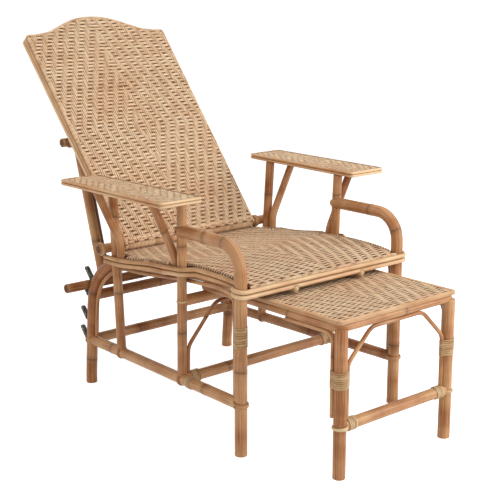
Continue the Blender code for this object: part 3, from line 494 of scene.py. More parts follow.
def rattan_pole(name, points, radius, body, stands_for, rings, dark=0.0, free=(1.0, 1.0)):
    """A round rattan pole: a circle carried along a centre line. At a distance d from a growth ring, which
    leans a little, the radius swells by bell(d, 6 mm) and dips by bell(d, 1.6 mm). The last millimetre of an
    end is rounded, and its face is cut grain if the end is free."""
    at, path = even_path(points, POLE_STEP)
    length = at[-1]
    POLES[name] = (at, path, radius)
    chance = np.random.default_rng(number_of(name))
    first_ring = chance.uniform(0.10, 0.30)
    rings = np.array(np.arange(first_ring, length - 0.05, RING_GAP) if rings is None else rings)
    thick = radius > THICK_POLE
    v = pole_stations(at, rings, thick)
    shrink = np.ones(len(v))
    shrink[[0, -1]], shrink[[1, -2]] = 0.74, 0.93
    cut = np.zeros(len(v))
    cut[[0, -1]], cut[[1, -2]] = free, 0.55 * np.array(free)
    turn = circle(20 if thick else 14)
    lean = 0.0018 * np.sin(turn[None, :, None] + rings * 90.0)
    d = v[:, None, None] - rings - lean
    swell = 0.035 * bell(d, 0.006) - 0.04 * bell(d, 0.0016)
    around = np.cos(2 * turn + chance.uniform(0, 6))
    oval = 1.0 + 0.012 * around * np.sin(v[:, None] * 14.0 + chance.uniform(0, 6))
    reach = radius * shrink[:, None] * (oval - 0.006 + swell.sum(-1))
    side, up = (at_lengths(v, at, normal)[:, None] for normal in normals_of(path))
    places = at_lengths(v, at, path)[:, None] + reach[..., None] * spokes(turn, side, up)
    section = radius * joined(np.cos(turn), np.sin(turn))
    grain = grain_places(section, v) + chance.uniform(0, 5, 3)
    ring_mark = 0.36 * bell(d, 0.0022) + 0.26 * bell(d, 0.009)
    start_tone, end_tone = TONES.get(name, [chance.uniform(0.3, 0.8)] * 2)
    tone = start_tone + (end_tone - start_tone) * v / length
    run = {"points": places[None], "grain": grain[None], "tone": tone[None, :, None],
           "mark": np.clip(ring_mark.sum(-1) + dark, 0.0, 0.8)[None], "cut": cut[None, :, None]}
    piece(name + "_pole", [run], PEELED_POLE, body, stands_for)


def pole(node):
    """The rattan pole of a round CAD pole, with its ends scribed to its neighbours."""
    points, radius = centre_line(node)
    stem = node.removesuffix("_left").removesuffix("_right")
    run_in, run_out = SCRIBED.get(stem, (0.0, 0.0))
    start = points[0] - unit(points[1] - points[0]) * run_in
    end = points[-1] + unit(points[-1] - points[-2]) * run_out
    points = np.concatenate([[start], points[1:-1], [end]])
    rattan_pole(node, points, SLIMMED.get(node, radius), NODES[node]["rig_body"], (node,), RINGS.get(node),
                free=(float(run_in == 0.0), float(run_out == 0.0)))


def lens(width, thick):
    """Section of a flat strand: six points on a lens, as (across, up)."""
    shape = np.array([(-0.5, 0.0), (-0.30, 0.5), (0.30, 0.5), (0.5, 0.0), (0.30, -0.5), (-0.30, -0.5)])
    return shape * (width, thick)


def half_round(width, height, shoulder=0.85, sink=0.0):
    """Section of split rattan, as (across, up): height * sin^shoulder over a flat side, lowered by sink."""
    turn = np.linspace(0.0, math.pi, 9)
    return joined(0.5 * width * np.cos(turn), height * np.sin(turn) ** shoulder - sink)


def carried(path, section, up, seed, closed=False, tone=0.5, edge_shade=0.75):
    """A section, or one for each station, carried along a path with across = tangent x up. Its two edges are
    darkened with painted shade over an eighth of the half width, as in the groove between neighbours."""
    section = np.broadcast_to(section, (len(path), *section.shape[-2:]))
    up = np.broadcast_to(up, path.shape)
    tone = np.broadcast_to(tone, len(path))
    if closed:
        path, section, up, tone = (np.concatenate([a, a[:1]]) for a in (path, section, up, tone))
    tangent = np.gradient(path, axis=0)
    if closed:
        tangent[[0, -1]] = path[1] - path[-2]
    across = unit(np.cross(unit(tangent), up))
    grain = grain_places(section, lengths_along(path)) + 0.37 * seed
    far = np.abs(section[..., 0])
    edge = 1.0 - far / far.max(axis=1, keepdims=True)
    # Painted shade: the strand's two edges darkened, as in the groove where it meets its neighbour.
    mark = edge_shade * np.clip(1.0 - edge / 0.13, 0.0, 1.0)
    return {"points": swept(path, section, across, up)[None], "grain": grain[None],
            "tone": tone[None, :, None], "mark": mark[None]}


def wound(path, section, up, pitch, seed, dip=0.75, power=0.4):
    """Something wound with flat cane: its section carried along it swells between the turns by
    |sin(pi v / pitch)|^power, darkened with painted shade in the dips, with a tone of its own for each turn."""
    run = lengths_along(path)
    at = np.linspace(0.0, run[-1], int(run[-1] / pitch * 4) + 1)
    up = unit(at_lengths(at, run, np.broadcast_to(up, path.shape)))
    swell = np.abs(np.sin(math.pi * at / pitch)) ** power
    made = carried(at_lengths(at, run, path), section[None] * (0.86 + 0.14 * swell)[:, None, None], up, seed)
    turn = np.floor(at / pitch).astype(int)
    made["tone"] = np.random.default_rng(seed).uniform(0.1, 0.9, turn.max() + 1)[turn][None, :, None]
    # Painted shade in the dips between the turns.
    made["mark"] = (dip * (1.0 - swell) ** 2)[None, :, None]
    made["grain"] = made["grain"][..., [2, 0, 1]]
    return made


# Woven panels

def weave(name, body, node, counts, bounds, lay, widths, middle, relief, dip_shade):
    """A twill of flat strands. Warp i and weft j cross at grid place (i, j), and lay(i, j) gives the point
    there, with the directions across, along and out of the panel. The place in the repeat is
    (|i| + |j - middle|) mod 6, which mirrors the twill into diamonds: the weft lies on top in the first half
    and the warp in the rest. A strand's height is +1 or -1 at a crossing, times the relief, and the mean of
    both halfway to the next. It may run on by two places past its last crossing, and hole is how dark its
    painted shade is where it dips; its rims get painted shade too, and a strand on top is painted lighter."""
    warps, wefts = counts
    i, j = np.arange(-warps, warps + 1), np.arange(wefts + 1)
    repeat = (np.abs(i)[:, None] + np.abs(j - middle)[None]) % TWILL
    warp_up = np.where(repeat < TWILL // 2, -1.0, 1.0)
    chance = np.random.default_rng(number_of(name))
    for part, strands, steps, height in (("warp", i, j, warp_up), ("weft", j, i, -warp_up.T)):
        is_warp = part == "warp"
        width = widths[0] if is_warp else widths[1]
        each = (len(strands), 1)
        fine = np.arange(-4, 2 * len(steps) + 3)
        before, after = (np.clip(k, 0, len(steps) - 1) for k in (fine // 2, (fine + 1) // 2))
        place = steps[0] + fine / 2.0
        past = (place < steps[0]) | (place > steps[-1])
        rise = np.where(past, -0.5, 0.5 * (height[:, before] + height[:, after]))
        low, high = bounds(strands.astype(float), is_warp)
        t = np.clip(place[None], low[:, None], high[:, None])
        s = np.broadcast_to(strands[:, None].astype(float), t.shape)
        point, across, along, out = lay(s, t) if is_warp else lay(t, s)
        sideways = across if is_warp else along
        bend = np.sin(t * chance.uniform(0.3, 0.9, each) + chance.uniform(0, 6, each))
        wobble = chance.uniform(-0.0004, 0.0004, each) + (0.0002 if is_warp else 0.0006) * bend
        line = point + out * (relief * rise[..., None]) + sideways * wobble[..., None]
        section = lens(width, CANE)
        grain = grain_places(section, t * (WEFT_PITCH if is_warp else WARP_PITCH))
        grain = grain + chance.uniform(0, 9, (len(strands), 1, 1, 3))
        rim = np.abs(section[:, 0]) > 0.45 * width
        # Painted shade: dark where the strand dips under others and along its rims.
        sunk = np.clip(0.5 - 0.5 * rise, 0.0, 1.0)[:, :, None]
        depth = dip_shade * chance.uniform(0.6, 1.2, t.shape)[..., None]
        rim_shade = 0.3 + 0.5 * sunk if is_warp else 0.12
        mark = np.clip(depth * sunk ** 1.4 + rim_shade * rim, 0.0, 0.95)
        # Painted light and shade: a strand on top is lighter, a dipping one darker.
        tone = chance.uniform(0.1, 0.7, each) + 0.25 * rise + chance.uniform(-0.15, 0.15, t.shape)
        tone = tone + (0.12 if is_warp else 0.0)
        run = {"points": swept(line, section, sideways, out), "grain": grain, "tone": tone[..., None],
               "mark": mark, "keep": np.diff(t, axis=1) > 0.02}
        piece(f"{name}_{part}", [run], WOVEN_CANE, body, (node,))


def square_bounds(warps, wefts, over=0.0):
    """Bounds of a panel with straight sides, where a strand crosses all others and wefts run on by over."""
    def bounds(strand, is_warp):
        low, high = (0.0, wefts) if is_warp else (-warps - over, warps + over)
        return np.full(len(strand), float(low)), np.full(len(strand), float(high))
    return bounds


def outline_of(node, u, v, origin=0.0):
    """Edge of a flat CAD plate in its plane (u, v): its corners in order of their angle about the middle."""
    corners = node_points(node) - origin
    flat = np.unique(joined(corners @ u, corners @ v).round(5), axis=0)
    middle = 0.5 * (flat.min(axis=0) + flat.max(axis=0))
    return flat[np.argsort(np.arctan2(flat[:, 1] - middle[1], flat[:, 0] - middle[0]))]


def inset(outline, distance):
    """A closed outline moved inwards along its normals, in steps of 4 mm with eased corners."""
    ring = np.concatenate([outline, outline[:1]])
    run = lengths_along(ring)
    even = at_lengths(np.linspace(0.0, run[-1], int(run[-1] / 0.004), endpoint=False), run, ring)
    tangent = unit(np.roll(even, -1, axis=0) - np.roll(even, 1, axis=0))
    return even + distance * joined(-tangent[:, 1], tangent[:, 0])


def painted_shade_sheet(name, body, path, halves, out, thick=0.0003):
    """Dark layer of painted shade that closes the holes of a weave: a flat section, as wide as the panel at
    each place of the path along its middle."""
    corners = np.array([(-1.0, -1.0), (-1.0, 1.0), (1.0, 1.0), (1.0, -1.0)])
    sizes = joined(halves, 0.5 * thick)
    points = swept(path, corners * sizes[:, None], ACROSS, out)[None]
    piece(name, [{"points": points, "grain": points, "tone": 0.1, "mark": 0.8}], WOVEN_CANE, body)


def build_back_weave(outline):
    """Panel of the back, whose sides spread upwards to a crest that rises in the middle."""
    margin, first_weft, level = 0.004, 0.006, 0.0188
    foot, top = outline[:, 1].min(), outline[:, 1].max()
    right = outline[outline[:, 0] > 0.15]
    right = right[np.argsort(right[:, 1])]
    straight = right[right[:, 1] < right[right[:, 0].argmax(), 1] + 1e-5]
    crest = outline[outline[:, 1] > 0.6]
    crest = crest[np.argsort(crest[:, 0])]
    warps = int((straight[0, 0] - margin) / WARP_PITCH)
    wefts = int((top - foot) / WEFT_PITCH)

    def half_width(s):
        return np.interp(s, straight[:, 1], straight[:, 0]) - margin

    def under_crest(s, xs):
        """Furthest of the places xs where the crest is over s."""
        over = np.interp(xs, crest[:, 0], crest[:, 1]) - margin
        return np.array([xs[over >= place].max(initial=0.0) for place in s])

    def lay(i, j):
        s = foot + first_weft + j * WEFT_PITCH
        return on_back(i / warps * half_width(s), s, level), ACROSS, UP_BACK, OUT_BACK

    def bounds(strand, is_warp):
        if is_warp:
            x = strand / warps * half_width(np.full(len(strand), 0.66))
            crest_height = np.interp(x, crest[:, 0], crest[:, 1])
            return np.zeros(len(strand)), (crest_height - margin - foot - first_weft) / WEFT_PITCH
        s = foot + first_weft + strand * WEFT_PITCH
        reach = under_crest(s, np.linspace(0.0, straight[-1, 0], 200))
        high = np.minimum(warps, reach / half_width(s) * warps)
        return -high, high

    weave("back_weave", "back", "back_panel", (warps, wefts), bounds, lay, (0.0048, 0.0074),
          middle=round((0.336 - foot) / WEFT_PITCH), relief=0.00085, dip_shade=0.5)
    rows = np.linspace(foot + 0.004, top - 0.012, 60)
    halves = np.minimum(half_width(rows), under_crest(rows, np.linspace(0.0, 0.24, 300)))
    painted_shade_sheet("back_weave_shade_core", "back", on_back(np.zeros(60), rows, level), halves, OUT_BACK)


def build_back_edges(outline):
    """Two strips and a wound border round the back's panel, and the cane wound round its foot."""
    ring = outline[np.argsort(-np.arctan2(-outline[:, 0], outline[:, 1] - 0.3))]
    run = lengths_along(ring)
    edge = at_lengths(np.linspace(0.0, run[-1], 400), run, ring)
    tangent = unit(np.gradient(edge, axis=0))
    away = joined(-tangent[:, 1], tangent[:, 0])
    out = away[:, :1] * ACROSS + away[:, 1:] * UP_BACK

    def beside(distance, level):
        flat = edge - distance * away
        return on_back(flat[:, 0], flat[:, 1], level)

    rear = carried(beside(0.0033, -0.0072), half_round(0.0108, 0.0066, 0.45, 0.0033), out, 3, tone=0.9)
    front = carried(beside(0.0035, 0.0050), half_round(0.0128, 0.0064, 0.45, 0.0033), out, 4, tone=0.15)
    piece("back_edge_strips", [rear, front], SPLIT_STRIP, "back")
    section = half_round(0.0088, 0.0070, sink=0.0035)
    border = wound(beside(0.0035, 0.0166), section, out, pitch=0.0065, seed=5)
    piece("back_wrapped_edge", [border], WOVEN_CANE, "back")
    x = np.linspace(-0.2195, 0.2195, 90)
    rod, cane = ((0.0, 0.0), 0.0152), ((0.0172, 0.004), 0.0034)
    section = around_poles([rod, cane], circle(28))
    roll = wound(PIVOT + x[:, None] * ACROSS, section, UP_BACK, pitch=0.0122, seed=9, dip=0.35)
    piece("back_foot_roll", [roll], WOVEN_CANE, "back")


def build_seat_weave():
    """Panel of the seat, bent over the front and rear rails, with its wound borders."""
    first_weft = SEAT_FRONT + 0.003
    warps, wefts = int(0.2620 / WARP_PITCH), int((SEAT_REAR - SEAT_FRONT) / WEFT_PITCH)
    rows = np.linspace(SEAT_FRONT, SEAT_REAR, 200)

    def lay(i, j):
        x, y = i * WARP_PITCH, first_weft + j * WEFT_PITCH
        slope = (seat_weave_height(x, y + 0.001) - seat_weave_height(x, y - 0.001)) / 0.002
        along = unit(joined(0.0, 1.0, slope))
        out = joined(0.0, -along[..., 2], along[..., 1])
        return joined(x, y, seat_weave_height(x, y)), ACROSS, along, out

    def bounds(strand, is_warp):
        if is_warp:
            inside = seat_reach(rows)[None] > np.abs(strand * WARP_PITCH)[:, None] + 0.0035
            ends = rows[inside.argmax(1)], rows[-1 - inside[:, ::-1].argmax(1)]
            low, high = (np.clip((y - first_weft) / WEFT_PITCH, 0.0, wefts) for y in ends)
            return low, np.where(inside.any(1), high, low)
        high = seat_reach(first_weft + strand * WEFT_PITCH) / WARP_PITCH
        return -high, high

    weave("seat_weave", "frame", "seat_panel", (warps, wefts), bounds, lay, (0.0050, 0.0056),
          middle=wefts // 2, relief=0.0003, dip_shade=1.1)
    y = np.linspace(SEAT_FRONT + 0.002, SEAT_REAR - 0.001, 90)
    path = joined(0.0, y, seat_weave_height(0.0, y) - 0.0012)
    painted_shade_sheet("seat_weave_shade_core", "frame", path, seat_reach(y) - 0.002, UPRIGHT)
    x = np.linspace(-0.2445, 0.2445, 60)
    y = -0.3788
    path = joined(x, y, seat_height(y) - 0.0042)
    borders = [wound(path, half_round(0.0062, 0.0058, sink=0.0029), UPRIGHT, pitch=0.0062, seed=13)]
    y = np.linspace(SEAT_FRONT + 0.012, 0.118, 120)
    section = half_round(0.0085, 0.0048, sink=0.0012)
    for _, sign in SIDES:
        x = sign * (seat_reach(y) - 0.0060)
        path = joined(x, y, seat_weave_height(x, y) + 0.0004)
        borders.append(wound(path, section, UPRIGHT, pitch=0.0088, seed=14, dip=1.5, power=1.5))
    piece("seat_wrapped_edge", borders, WOVEN_CANE, "frame")


def build_footrest_weave():
    """Panel of the footrest, with a squarish strip round its edge."""
    half, front, rear, level = 0.1955, -0.6160, -0.1450, FOOTREST_TOP - 0.002
    warp_edge = half - 0.006
    warps, wefts = int(warp_edge / WARP_PITCH), int((rear - front - 0.012) / WEFT_PITCH)

    def lay(i, j):
        y = front + 0.008 + j * WEFT_PITCH
        return joined(i / warps * warp_edge, y, level), ACROSS, REARWARD, UPRIGHT

    weave("footrest_weave", "footrest", "footrest_panel", (warps, wefts), square_bounds(warps, wefts), lay,
          (0.0049, 0.0064), middle=wefts // 2, relief=0.0004, dip_shade=0.95)
    y = np.linspace(front + 0.004, rear - 0.004, 12)
    painted_shade_sheet("footrest_weave_shade_core", "footrest", joined(0.0, y, level), np.full(12, half - 0.004), UPRIGHT)
    ring = inset(outline_of("footrest_panel", ACROSS, REARWARD), 0.0048)
    wide, high = np.cos(circle(14)), np.sin(circle(14))
    squarish = joined(0.0048 * np.sign(wide) * np.abs(wide) ** 0.35,
                      0.0049 * np.sign(high) * np.abs(high) ** 0.45)
    path = joined(*ring.T, FOOTREST_TOP - 0.0046)
    strip = carried(path, squarish, UPRIGHT, seed=6, closed=True, tone=0.3, edge_shade=0.2)
    piece("footrest_edge_strip", [strip], SPLIT_STRIP, "footrest")


def build_footrest_rails():
    """One pole bent round the footrest's sides and front, and the bent cane under its front."""
    turn = np.linspace(0.0, math.pi / 2, 9)
    bend = 0.012
    corner = joined(0.174 + bend * np.cos(turn), -0.5935 - bend * np.sin(turn))
    half_plan = np.concatenate([[(0.186, -0.1445)], corner])
    plan = np.concatenate([half_plan, half_plan[::-1] * (-1.0, 1.0)])
    rattan_pole("footrest_bent_rail", joined(*plan.T, 0.3493), 0.0100, "footrest",
                ("footrest_rail_left", "footrest_rail_right", "footrest_front_rail"), (0.23, 0.62, 0.98))
    braces = ("footrest_front_brace_right", "footrest_front_brace_left")
    (right, radius), (left, _) = map(centre_line, braces)
    rattan_pole("footrest_front_brace", np.concatenate([right, left[::-1]]), radius, "footrest", braces, ())


def build_armrest(side, sign):
    """An armrest: a core, woven over and under, and two half-round strips round its edge."""
    board = "armrest_board_" + side
    outline = outline_of(board, ACROSS, REARWARD)
    front, rear = outline[:, 1].min(), outline[:, 1].max()
    inner, outer = (0.2514, 0.2653), (0.3635, 0.3667)
    pitch = 0.0085
    warps, wefts = 8, int((rear - front - 0.004) / pitch)

    def edges(y):
        """Inner and outer edge of the weave, each given at the front and at the rear."""
        share = (y - front) / (rear - front)
        return tuple(at_front + share * (at_rear - at_front) for at_front, at_rear in (inner, outer))

    def lay(i, j, level, out):
        y = front + 0.003 + j * pitch
        low, high = edges(y)
        x = sign * (low + (0.5 + warps + i) / (2 * warps + 1) * (high - low))
        return joined(x, y, level), ACROSS, REARWARD, out

    for face, level, out in (("top", 0.5872, UPRIGHT), ("under", 0.5772, -UPRIGHT)):
        weave(f"armrest_weave_{face}_{side}", "frame", board, (warps, wefts),
              square_bounds(warps, wefts, 0.4), functools.partial(lay, level=level, out=out),
              (0.0051, 0.0064), middle=wefts // 2, relief=0.0006, dip_shade=1.5)
    # The core is coloured dark: painted shade where it shows between the strands.
    y = np.linspace(front + 0.001, rear - 0.001, 8)
    low, high = edges(y)
    path = joined(sign * (low + high) / 2, y, 0.5822)
    painted_shade_sheet("armrest_shade_core_" + side, "frame", path, (high - low) / 2, UPRIGHT, thick=0.006)
    ring = inset(outline, -0.0033)
    first_seed = 6 if sign > 0 else 1
    levels = (0.5788, 0.5862)
    strips = [rim_strip(joined(*ring.T, level), first_seed + k) for k, level in enumerate(levels)]
    piece("armrest_edge_strips_" + side, strips, SPLIT_STRIP, "frame", ("armrest_edge_" + side,))


def rim_strip(path, seed):
    """A closed half-round strip whose flat side faces into a panel, lighter where it faces the front:
    painted light.
    """
    loop = np.concatenate([path[-1:], path, path[:1]])
    tangent = unit(loop[2:] - loop[:-2])
    out = joined(tangent[:, 1], -tangent[:, 0], 0.0)
    # Painted light: lighter where the strip faces the front, towards the light.
    tone = 0.35 + 0.65 * np.clip(-out[:, 1], 0.0, 1.0)
    return carried(path, half_round(0.0074, 0.0062, sink=0.0031), out, seed, True, tone, 0.4)


def band_strips(plan, lift, seed, tone):
    """Two half-round strips along a plan, one under the other, at the height of the seat."""
    tangent = np.gradient(plan, axis=0)
    out = unit(joined(-tangent[:, 1], tangent[:, 0], 0.0))
    out = out * np.sign((out[:, :2] * plan).sum(1))[:, None]
    section = half_round(0.0115, 0.0078, sink=0.0039)
    runs = []
    for k, drop in enumerate((0.0092, 0.0213)):
        path = joined(*plan.T, seat_height(plan[:, 1]) - drop + lift)
        runs.append(carried(path, section, out, seed + k, tone=tone, edge_shade=0.6))
    return runs


def build_seat_bands():
    """The seat's band: strips round the front and the front legs, and strips along each side, lapped behind
    the front arm post."""
    radius = 0.0195
    turn = np.linspace(-math.radians(50.0), math.pi / 2, 22)
    leg = joined(FRONT_LEG_X + radius * np.cos(turn), FRONT_LEG_Y - radius * np.sin(turn))
    bar = joined(np.linspace(0.255, -0.255, 90), FRONT_LEG_Y - radius)
    front = np.concatenate([leg, bar, leg[::-1] * (-1.0, 1.0)])
    for level, run in zip(("upper", "lower"), band_strips(front, lift=0.0, seed=1, tone=0.7)):
        piece(f"seat_band_{level}_strip", [run], SPLIT_STRIP, "frame", ("seat_band_" + level,))
    rear_y = np.linspace(PIVOT[1], -0.1010, 60)
    front_y = np.linspace(-0.0960, -0.3520, 70)
    lapped = band_side(front_y) + 0.0016 * smooth_step((front_y + 0.21) / 0.06)
    for side, sign in SIDES:
        runs = band_strips(joined(sign * band_side(rear_y), rear_y), lift=0.0, seed=3, tone=0.0)
        runs += band_strips(joined(sign * lapped, front_y), lift=0.0004, seed=5, tone=0.15)
        piece("seat_band_strips_" + side, runs, SPLIT_STRIP, "frame", ("seat_band_" + side,))


# Bindings

def spot(node, height=None, along=None):
    """Middle, direction and radius of a pole at a height or at a distance along it."""
    at, path, radius = POLES[node]
    v = [np.interp(height, path[:, 2], at) if along is None else along]
    tangent = unit(np.gradient(path, axis=0))
    return at_lengths(v, at, path)[0], unit(at_lengths(v, at, tangent)[0]), radius


def axes_of(axis, towards=None):
    """An axis and two directions square to it, the first of them as near as can be to the one asked for."""
    axis = unit(axis)
    u = np.cross(axis, np.eye(3)[np.abs(axis).argmin()]) if towards is None else towards
    u = unit(u - axis * (u @ axis))
    return axis, u, np.cross(axis, u)


def around_poles(circles, q):
    """Places round a bundle of circles in a plane: in direction q the place is on the circle that reaches
    furthest that way, at its centre + radius * (cos q, sin q)."""
    spoke = joined(np.cos(q), np.sin(q))
    centres = np.array([centre for centre, _ in circles])
    radii = np.array([radius for _, radius in circles])
    furthest = (spoke @ centres.T + radii).argmax(axis=1)
    return centres[furthest] + radii[furthest, None] * spoke


def coil(place, length, turns, thick, seed, tone, edge_shade=0.6, beside=()):
    """Turns of flat cane round the pole at a place and any circles beside it, moving evenly along."""
    middle, axis, r = place
    axis, u, w = axes_of(axis)
    q = np.linspace(0.0, 2 * math.pi * turns, 28 * turns + 1)
    bundle = [(middle, r), *beside]
    circles = [(((c - middle) @ u, (c - middle) @ w), radius + 0.45 * thick) for c, radius in bundle]
    flat = around_poles(circles, q)
    along = np.linspace(-0.5, 0.5, len(q)) * length
    path = middle + flat[:, :1] * u + flat[:, 1:] * w + along[:, None] * axis
    section = lens(length / turns * 0.98, thick)
    grain = grain_places(section, lengths_along(path)) + 0.61 * seed
    # Painted shade at the edges of each turn, where it meets the next.
    mark = edge_shade * (np.abs(section[:, 0]) > 0.9 * section[:, 0].max())
    own = np.random.default_rng(seed).uniform(-0.25, 0.25, turns + 1)[(q / (2 * math.pi)).astype(int)]
    return {"points": swept(path, section, axis, spokes(q, u, w))[None], "grain": grain[None],
            "mark": mark[None, None], "tone": (tone + own)[None, :, None]}


def strap(place, width, thick, seed, tone, towards=None, narrow=1.0):
    """A split strip bent round the pole at a place: half_round carried round a circle. Its width falls with
    the cosine of the angle from the direction given, to the narrow share of it on the far side."""
    middle, axis, r = place
    _, u, w = axes_of(axis, towards)
    q = circle(40)
    spoke = spokes(q, u, w)
    wide = width * (narrow + (1.0 - narrow) * (0.5 + 0.5 * np.cos(q)))
    section = half_round(1.0, thick)[None] * joined(wide, 1.0)[:, None]
    return carried(middle + (r - 0.0003) * spoke, section, spoke, seed, True, tone)


def pin(middle, axis, radius, length, seed=0):
    """A short pin with a rounded head: circles at shares of its length, with shares of its radius."""
    axis, u, w = axes_of(axis)
    along, wide = np.array(((-0.5, 0.5, 0.8, 0.95, 1.0), (1.0, 1.0, 0.9, 0.6, 0.2)))[..., None, None]
    points = middle + along * length * axis + wide * radius * spokes(circle(10), u, w)
    return {"points": points[None], "grain": points[None] + 0.3 * seed, "tone": 0.7}


def bind_frame(side, sign):
    """Cane wound round the front leg, the stretchers' joint and the ends of the seat's bearers, and the thin
    strap and peg on the front arm post."""
    outward = sign * ACROSS
    leg = spot("front_leg_" + side, 0.289)
    joint = spot("side_stretcher_" + side, along=0.183)
    end, axis, r = spot("cross_stretcher", along=0.252 + sign * 0.226)
    bearer = np.array((sign * 0.11, -0.3800, 0.3795))
    post, post_axis, post_r = spot("front_arm_post_" + side, 0.325)
    runs = [
        coil(leg, length=0.050, turns=8, thick=0.0010, seed=1, tone=0.1, edge_shade=0.35),
        coil(joint, length=0.016, turns=3, thick=0.0018, seed=4, tone=0.35),
        coil((end, axis, r), length=0.020, turns=4, thick=0.0024, seed=5, tone=0.6),
        strap((end - 0.013 * outward, axis, r), width=0.006, thick=0.003, seed=6, tone=0.3),
        coil((bearer, REARWARD, 0.0075), length=0.024, turns=4, thick=0.0024, seed=7, tone=0.9),
        pin(bearer, -REARWARD, radius=0.0073, length=0.0135, seed=7),
        strap((post, post_axis, post_r), width=0.0062, thick=0.0016, seed=8, tone=0.9),
        pin(post + outward * (post_r + 0.001), outward, radius=0.0035, length=0.003, seed=1),
    ]
    piece("frame_bindings_" + side, runs, BINDING_CANE, "frame")


def shave_ends(side, outward):
    """Pole ends shaved thin and bent round the pole that they meet. Gives the nails that hold them."""
    low = {"thick": 0.0045, "seed": 11, "tone": 0.35, "narrow": 0.55}
    high = {"thick": 0.0060, "seed": 12, "tone": 0.3, "narrow": 0.5}
    joints = (("front_leg_", 0.1245, REARWARD, 0.020, low, 0.0042),
              ("rear_leg_", 0.1245, -REARWARD, 0.024, low, 0.0042),
              ("front_arm_post_", 0.499, -REARWARD, 0.029, high, 0.0058))
    runs, nails = [], []
    for along in (0.2181, 0.4841):
        foot = spot("side_stretcher_" + side, along=along)
        runs.append(strap(foot, width=0.012, thick=0.0034, seed=2, tone=0.25))
    for name, height, towards, width, strip, nail_depth in joints:
        middle, axis, r = spot(name + side, height)
        runs.append(strap((middle, axis, r), width, towards=towards, **strip))
        nails.append(pin(middle + outward * (r + nail_depth), outward, radius=0.0022, length=0.0016))
    piece("shaved_ends_" + side, runs, PEELED_POLE, "frame")
    return nails


def strap_pivot(side, sign):
    """The loop that holds the pivot rod at the rear arm post, and the strap beside it."""
    outer, inner = (PIVOT + sign * x * ACROSS for x in (0.2851, 0.2385))
    straps = [strap((outer, ACROSS, 0.0133), width=0.010, thick=0.0042, seed=13, tone=0.4),
              strap((inner, ACROSS, 0.0125), width=0.015, thick=0.0050, seed=14, tone=0.2)]
    piece("pivot_loop_strap_" + side, straps, SPLIT_STRIP, "frame", ("pivot_loop_" + side,))


def bind_footrest(side, sign):
    """The footrest's leg and its braces wound together, and the stretcher's end wound and bent round it."""
    inward = -sign * ACROSS
    leg = spot("footrest_leg_" + side, 0.232)
    braces = [(leg[0] + 0.0203 * inward, 0.005), (leg[0] - 0.006 * inward + 0.0194 * REARWARD, 0.005)]
    joint = spot("footrest_leg_" + side, 0.120)
    end = spot("footrest_stretcher", along=0.1707 + sign * 0.148)
    runs = [coil(leg, length=0.040, turns=8, thick=0.0012, seed=21, tone=0.35, beside=braces),
            strap(joint, width=0.012, thick=0.0040, seed=22, tone=0.75, towards=inward, narrow=0.6),
            coil(end, length=0.024, turns=5, thick=0.0020, seed=23, tone=0.7)]
    piece("footrest_bindings_" + side, runs, BINDING_CANE, "footrest")


def build_hook_blades(side):
    """Flat steel blades over the rack's tongues, rounded to their tips."""
    tongue = np.array((0.0, math.cos(HOOK_LEAN), math.sin(HOOK_LEAN)))
    over = np.array((0.0, -math.sin(HOOK_LEAN), math.cos(HOOK_LEAN)))
    length, width, thick = 0.0425, 0.0145, 0.0032
    share = np.array((0.02, 0.5, 0.86, 0.94, 0.985, 1.0))
    flat = np.array([(-0.5, -0.5), (-0.5, 0.5), (0.5, 0.5), (0.5, -0.5)]) * (width, thick)
    round_tip = joined((1.0, 1.0, 1.0, 0.9, 0.65, 0.3), 1.0)
    blades = []
    for height in HOOK_HEIGHTS:
        middle, axis, r = spot("rear_leg_" + side, height)
        corner = middle + (r + 0.0024) * np.array((0.0, axis[2], -axis[1]))
        path = corner + length * share[:, None] * tongue - 0.5 * thick * over
        blades.append(carried(path, flat[None] * round_tip[:, None], over, seed=0))
    piece("hook_blades_" + side, blades, BLACK_STEEL, "frame")


def build_bindings(side, sign):
    """Everything wound, strapped or nailed on one side, its hooks, and the thin cane at the prop's leg."""
    bind_frame(side, sign)
    nails = shave_ends(side, sign * ACROSS)
    strap_pivot(side, sign)
    bind_footrest(side, sign)
    piece("nails_" + side, nails, BLACK_STEEL, "frame")
    build_hook_blades(side)
    leg = POLES["prop_leg_" + side][1]
    strut = leg[int(len(leg) * 0.12):int(len(leg) * 0.86)] - 0.0185 * sign * ACROSS
    # The strut is darkened by 0.45: painted shade, as it stands in shade behind the back.
    rattan_pole("prop_strut_" + side, strut, 0.0045, "prop", (), (), dark=0.45)


# Building

# Starts of the names of CAD solids that aren't drawn as poles of their own
NOT_POLES = ("armrest", "back_panel", "footrest_front_brace", "footrest_panel", "footrest_rail",
             "footrest_front_rail", "hook_rack", "pivot_loop", "seat_band", "seat_panel")
for node in sorted(NODES):
    if not node.startswith(NOT_POLES):
        pole(node)
back_outline = outline_of("back_panel", ACROSS, UP_BACK, PIVOT)
build_back_weave(back_outline)
build_back_edges(back_outline)
build_seat_weave()
build_footrest_weave()
build_footrest_rails()
for side, sign in SIDES:
    build_armrest(side, sign)
    rack = NODES["hook_rack_" + side]
    rack.data.materials.clear()
    rack.data.materials.append(BLACK_STEEL)
    build_bindings(side, sign)
build_seat_bands()

# Stage, light and camera


def seen(tree):
    """1 for rays that show a surface, straight, mirrored or through glass, and 0 for rays of light."""
    path = add(tree, "LightPath").outputs
    shown = add(tree, "Math", {"operation": "MAXIMUM"}, {0: path["Is Camera Ray"], 1: path["Is Glossy Ray"]})
    return add(tree, "Math", {"operation": "MAXIMUM"},
               {0: shown.outputs[0], 1: path["Is Transmission Ray"]}).outputs[0]


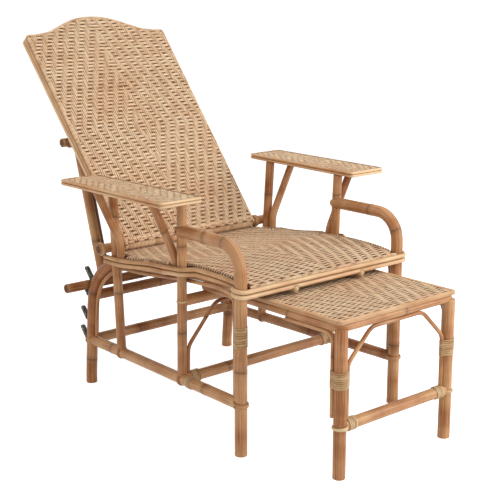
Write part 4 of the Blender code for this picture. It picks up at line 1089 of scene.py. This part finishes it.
def build_floor():
    """A level white floor, seen as white with the chair's soft shadow on it."""
    mesh = bpy.data.meshes.new("studio_floor")
    r = 30.0
    mesh.from_pydata([(-r, -r, 0), (r, -r, 0), (r, r, 0), (-r, r, 0)], [], [(0, 1, 2, 3)])
    floor = bpy.data.objects.new("studio_floor", mesh)
    bpy.context.scene.collection.objects.link(floor)
    material, tree = new_material("matt_white_paper")
    paper = add(tree, "BsdfDiffuse", {"Color": linear("#f4f3f1")})
    lift = add(tree, "Math", {"operation": "MULTIPLY", 1: 0.76}, {0: seen(tree)}).outputs[0]
    glow = add(tree, "Emission", {"Color": (1, 1, 1, 1)}, {"Strength": lift})
    both = add(tree, "AddShader", (), {0: paper.outputs[0], 1: glow.outputs[0]})
    add(tree, "OutputMaterial", (), {"Surface": both.outputs[0]})
    mesh.materials.append(material)


def build_world():
    """White where it is seen, dimmer as light."""
    world = bpy.data.worlds.new("white_studio")
    world.use_nodes = True
    tree = world.node_tree
    tree.nodes.clear()
    strength = add(tree, "MapRange", {"To Min": 0.35, "To Max": 1.0}, {"Value": seen(tree)}).outputs[0]
    sky = add(tree, "Background", {"Color": (1, 1, 1, 1)}, {"Strength": strength})
    add(tree, "OutputWorld", (), {"Surface": sky.outputs[0]})
    bpy.context.scene.world = world


def soft_light(name, place, aim, size, power):
    """A rectangular light at a place, aimed at a point."""
    light = bpy.data.lights.new(name, "AREA")
    light.shape = "RECTANGLE"
    light.size, light.size_y = size
    light.energy = power
    lamp = bpy.data.objects.new(name, light)
    lamp.location = place
    out = np.array(aim, float) - np.array(place, float)
    tilt = math.acos(-out[2] / np.linalg.norm(out))
    lamp.rotation_euler = (tilt, 0.0, math.atan2(out[1], out[0]) - math.pi / 2)
    bpy.context.scene.collection.objects.link(lamp)


def build_camera():
    """The photograph's camera, as solved from it: its place, its fall from level and its turn from +Y."""
    camera = bpy.data.cameras.new("photograph")
    camera.sensor_width = 36.0
    camera.lens = 84.468
    eye = bpy.data.objects.new("photograph", camera)
    eye.location = (-1.92258, -2.29411, 1.10741)
    eye.rotation_euler = (math.pi / 2 - 0.2372358, 0.0, -0.7196259)
    bpy.context.scene.collection.objects.link(eye)
    bpy.context.scene.camera = eye


build_floor()
build_world()
soft_light("right_window", (1.3, -2.2, 1.4), (0.0, -0.1, 0.4), (1.1, 1.7), 42.0)
soft_light("left_window", (-2.4, 1.3, 1.2), (0.0, 0.0, 0.4), (1.4, 2.0), 17.0)
soft_light("ceiling", (0.0, -0.3, 3.0), (0.0, 0.0, 0.4), (2.0, 2.0), 27.0)
soft_light("front_fill", (-1.6, -2.4, 1.8), (0.0, 0.0, 0.5), (1.6, 1.6), 12.0)
build_camera()
bpy.context.scene.view_settings.view_transform = "Standard"
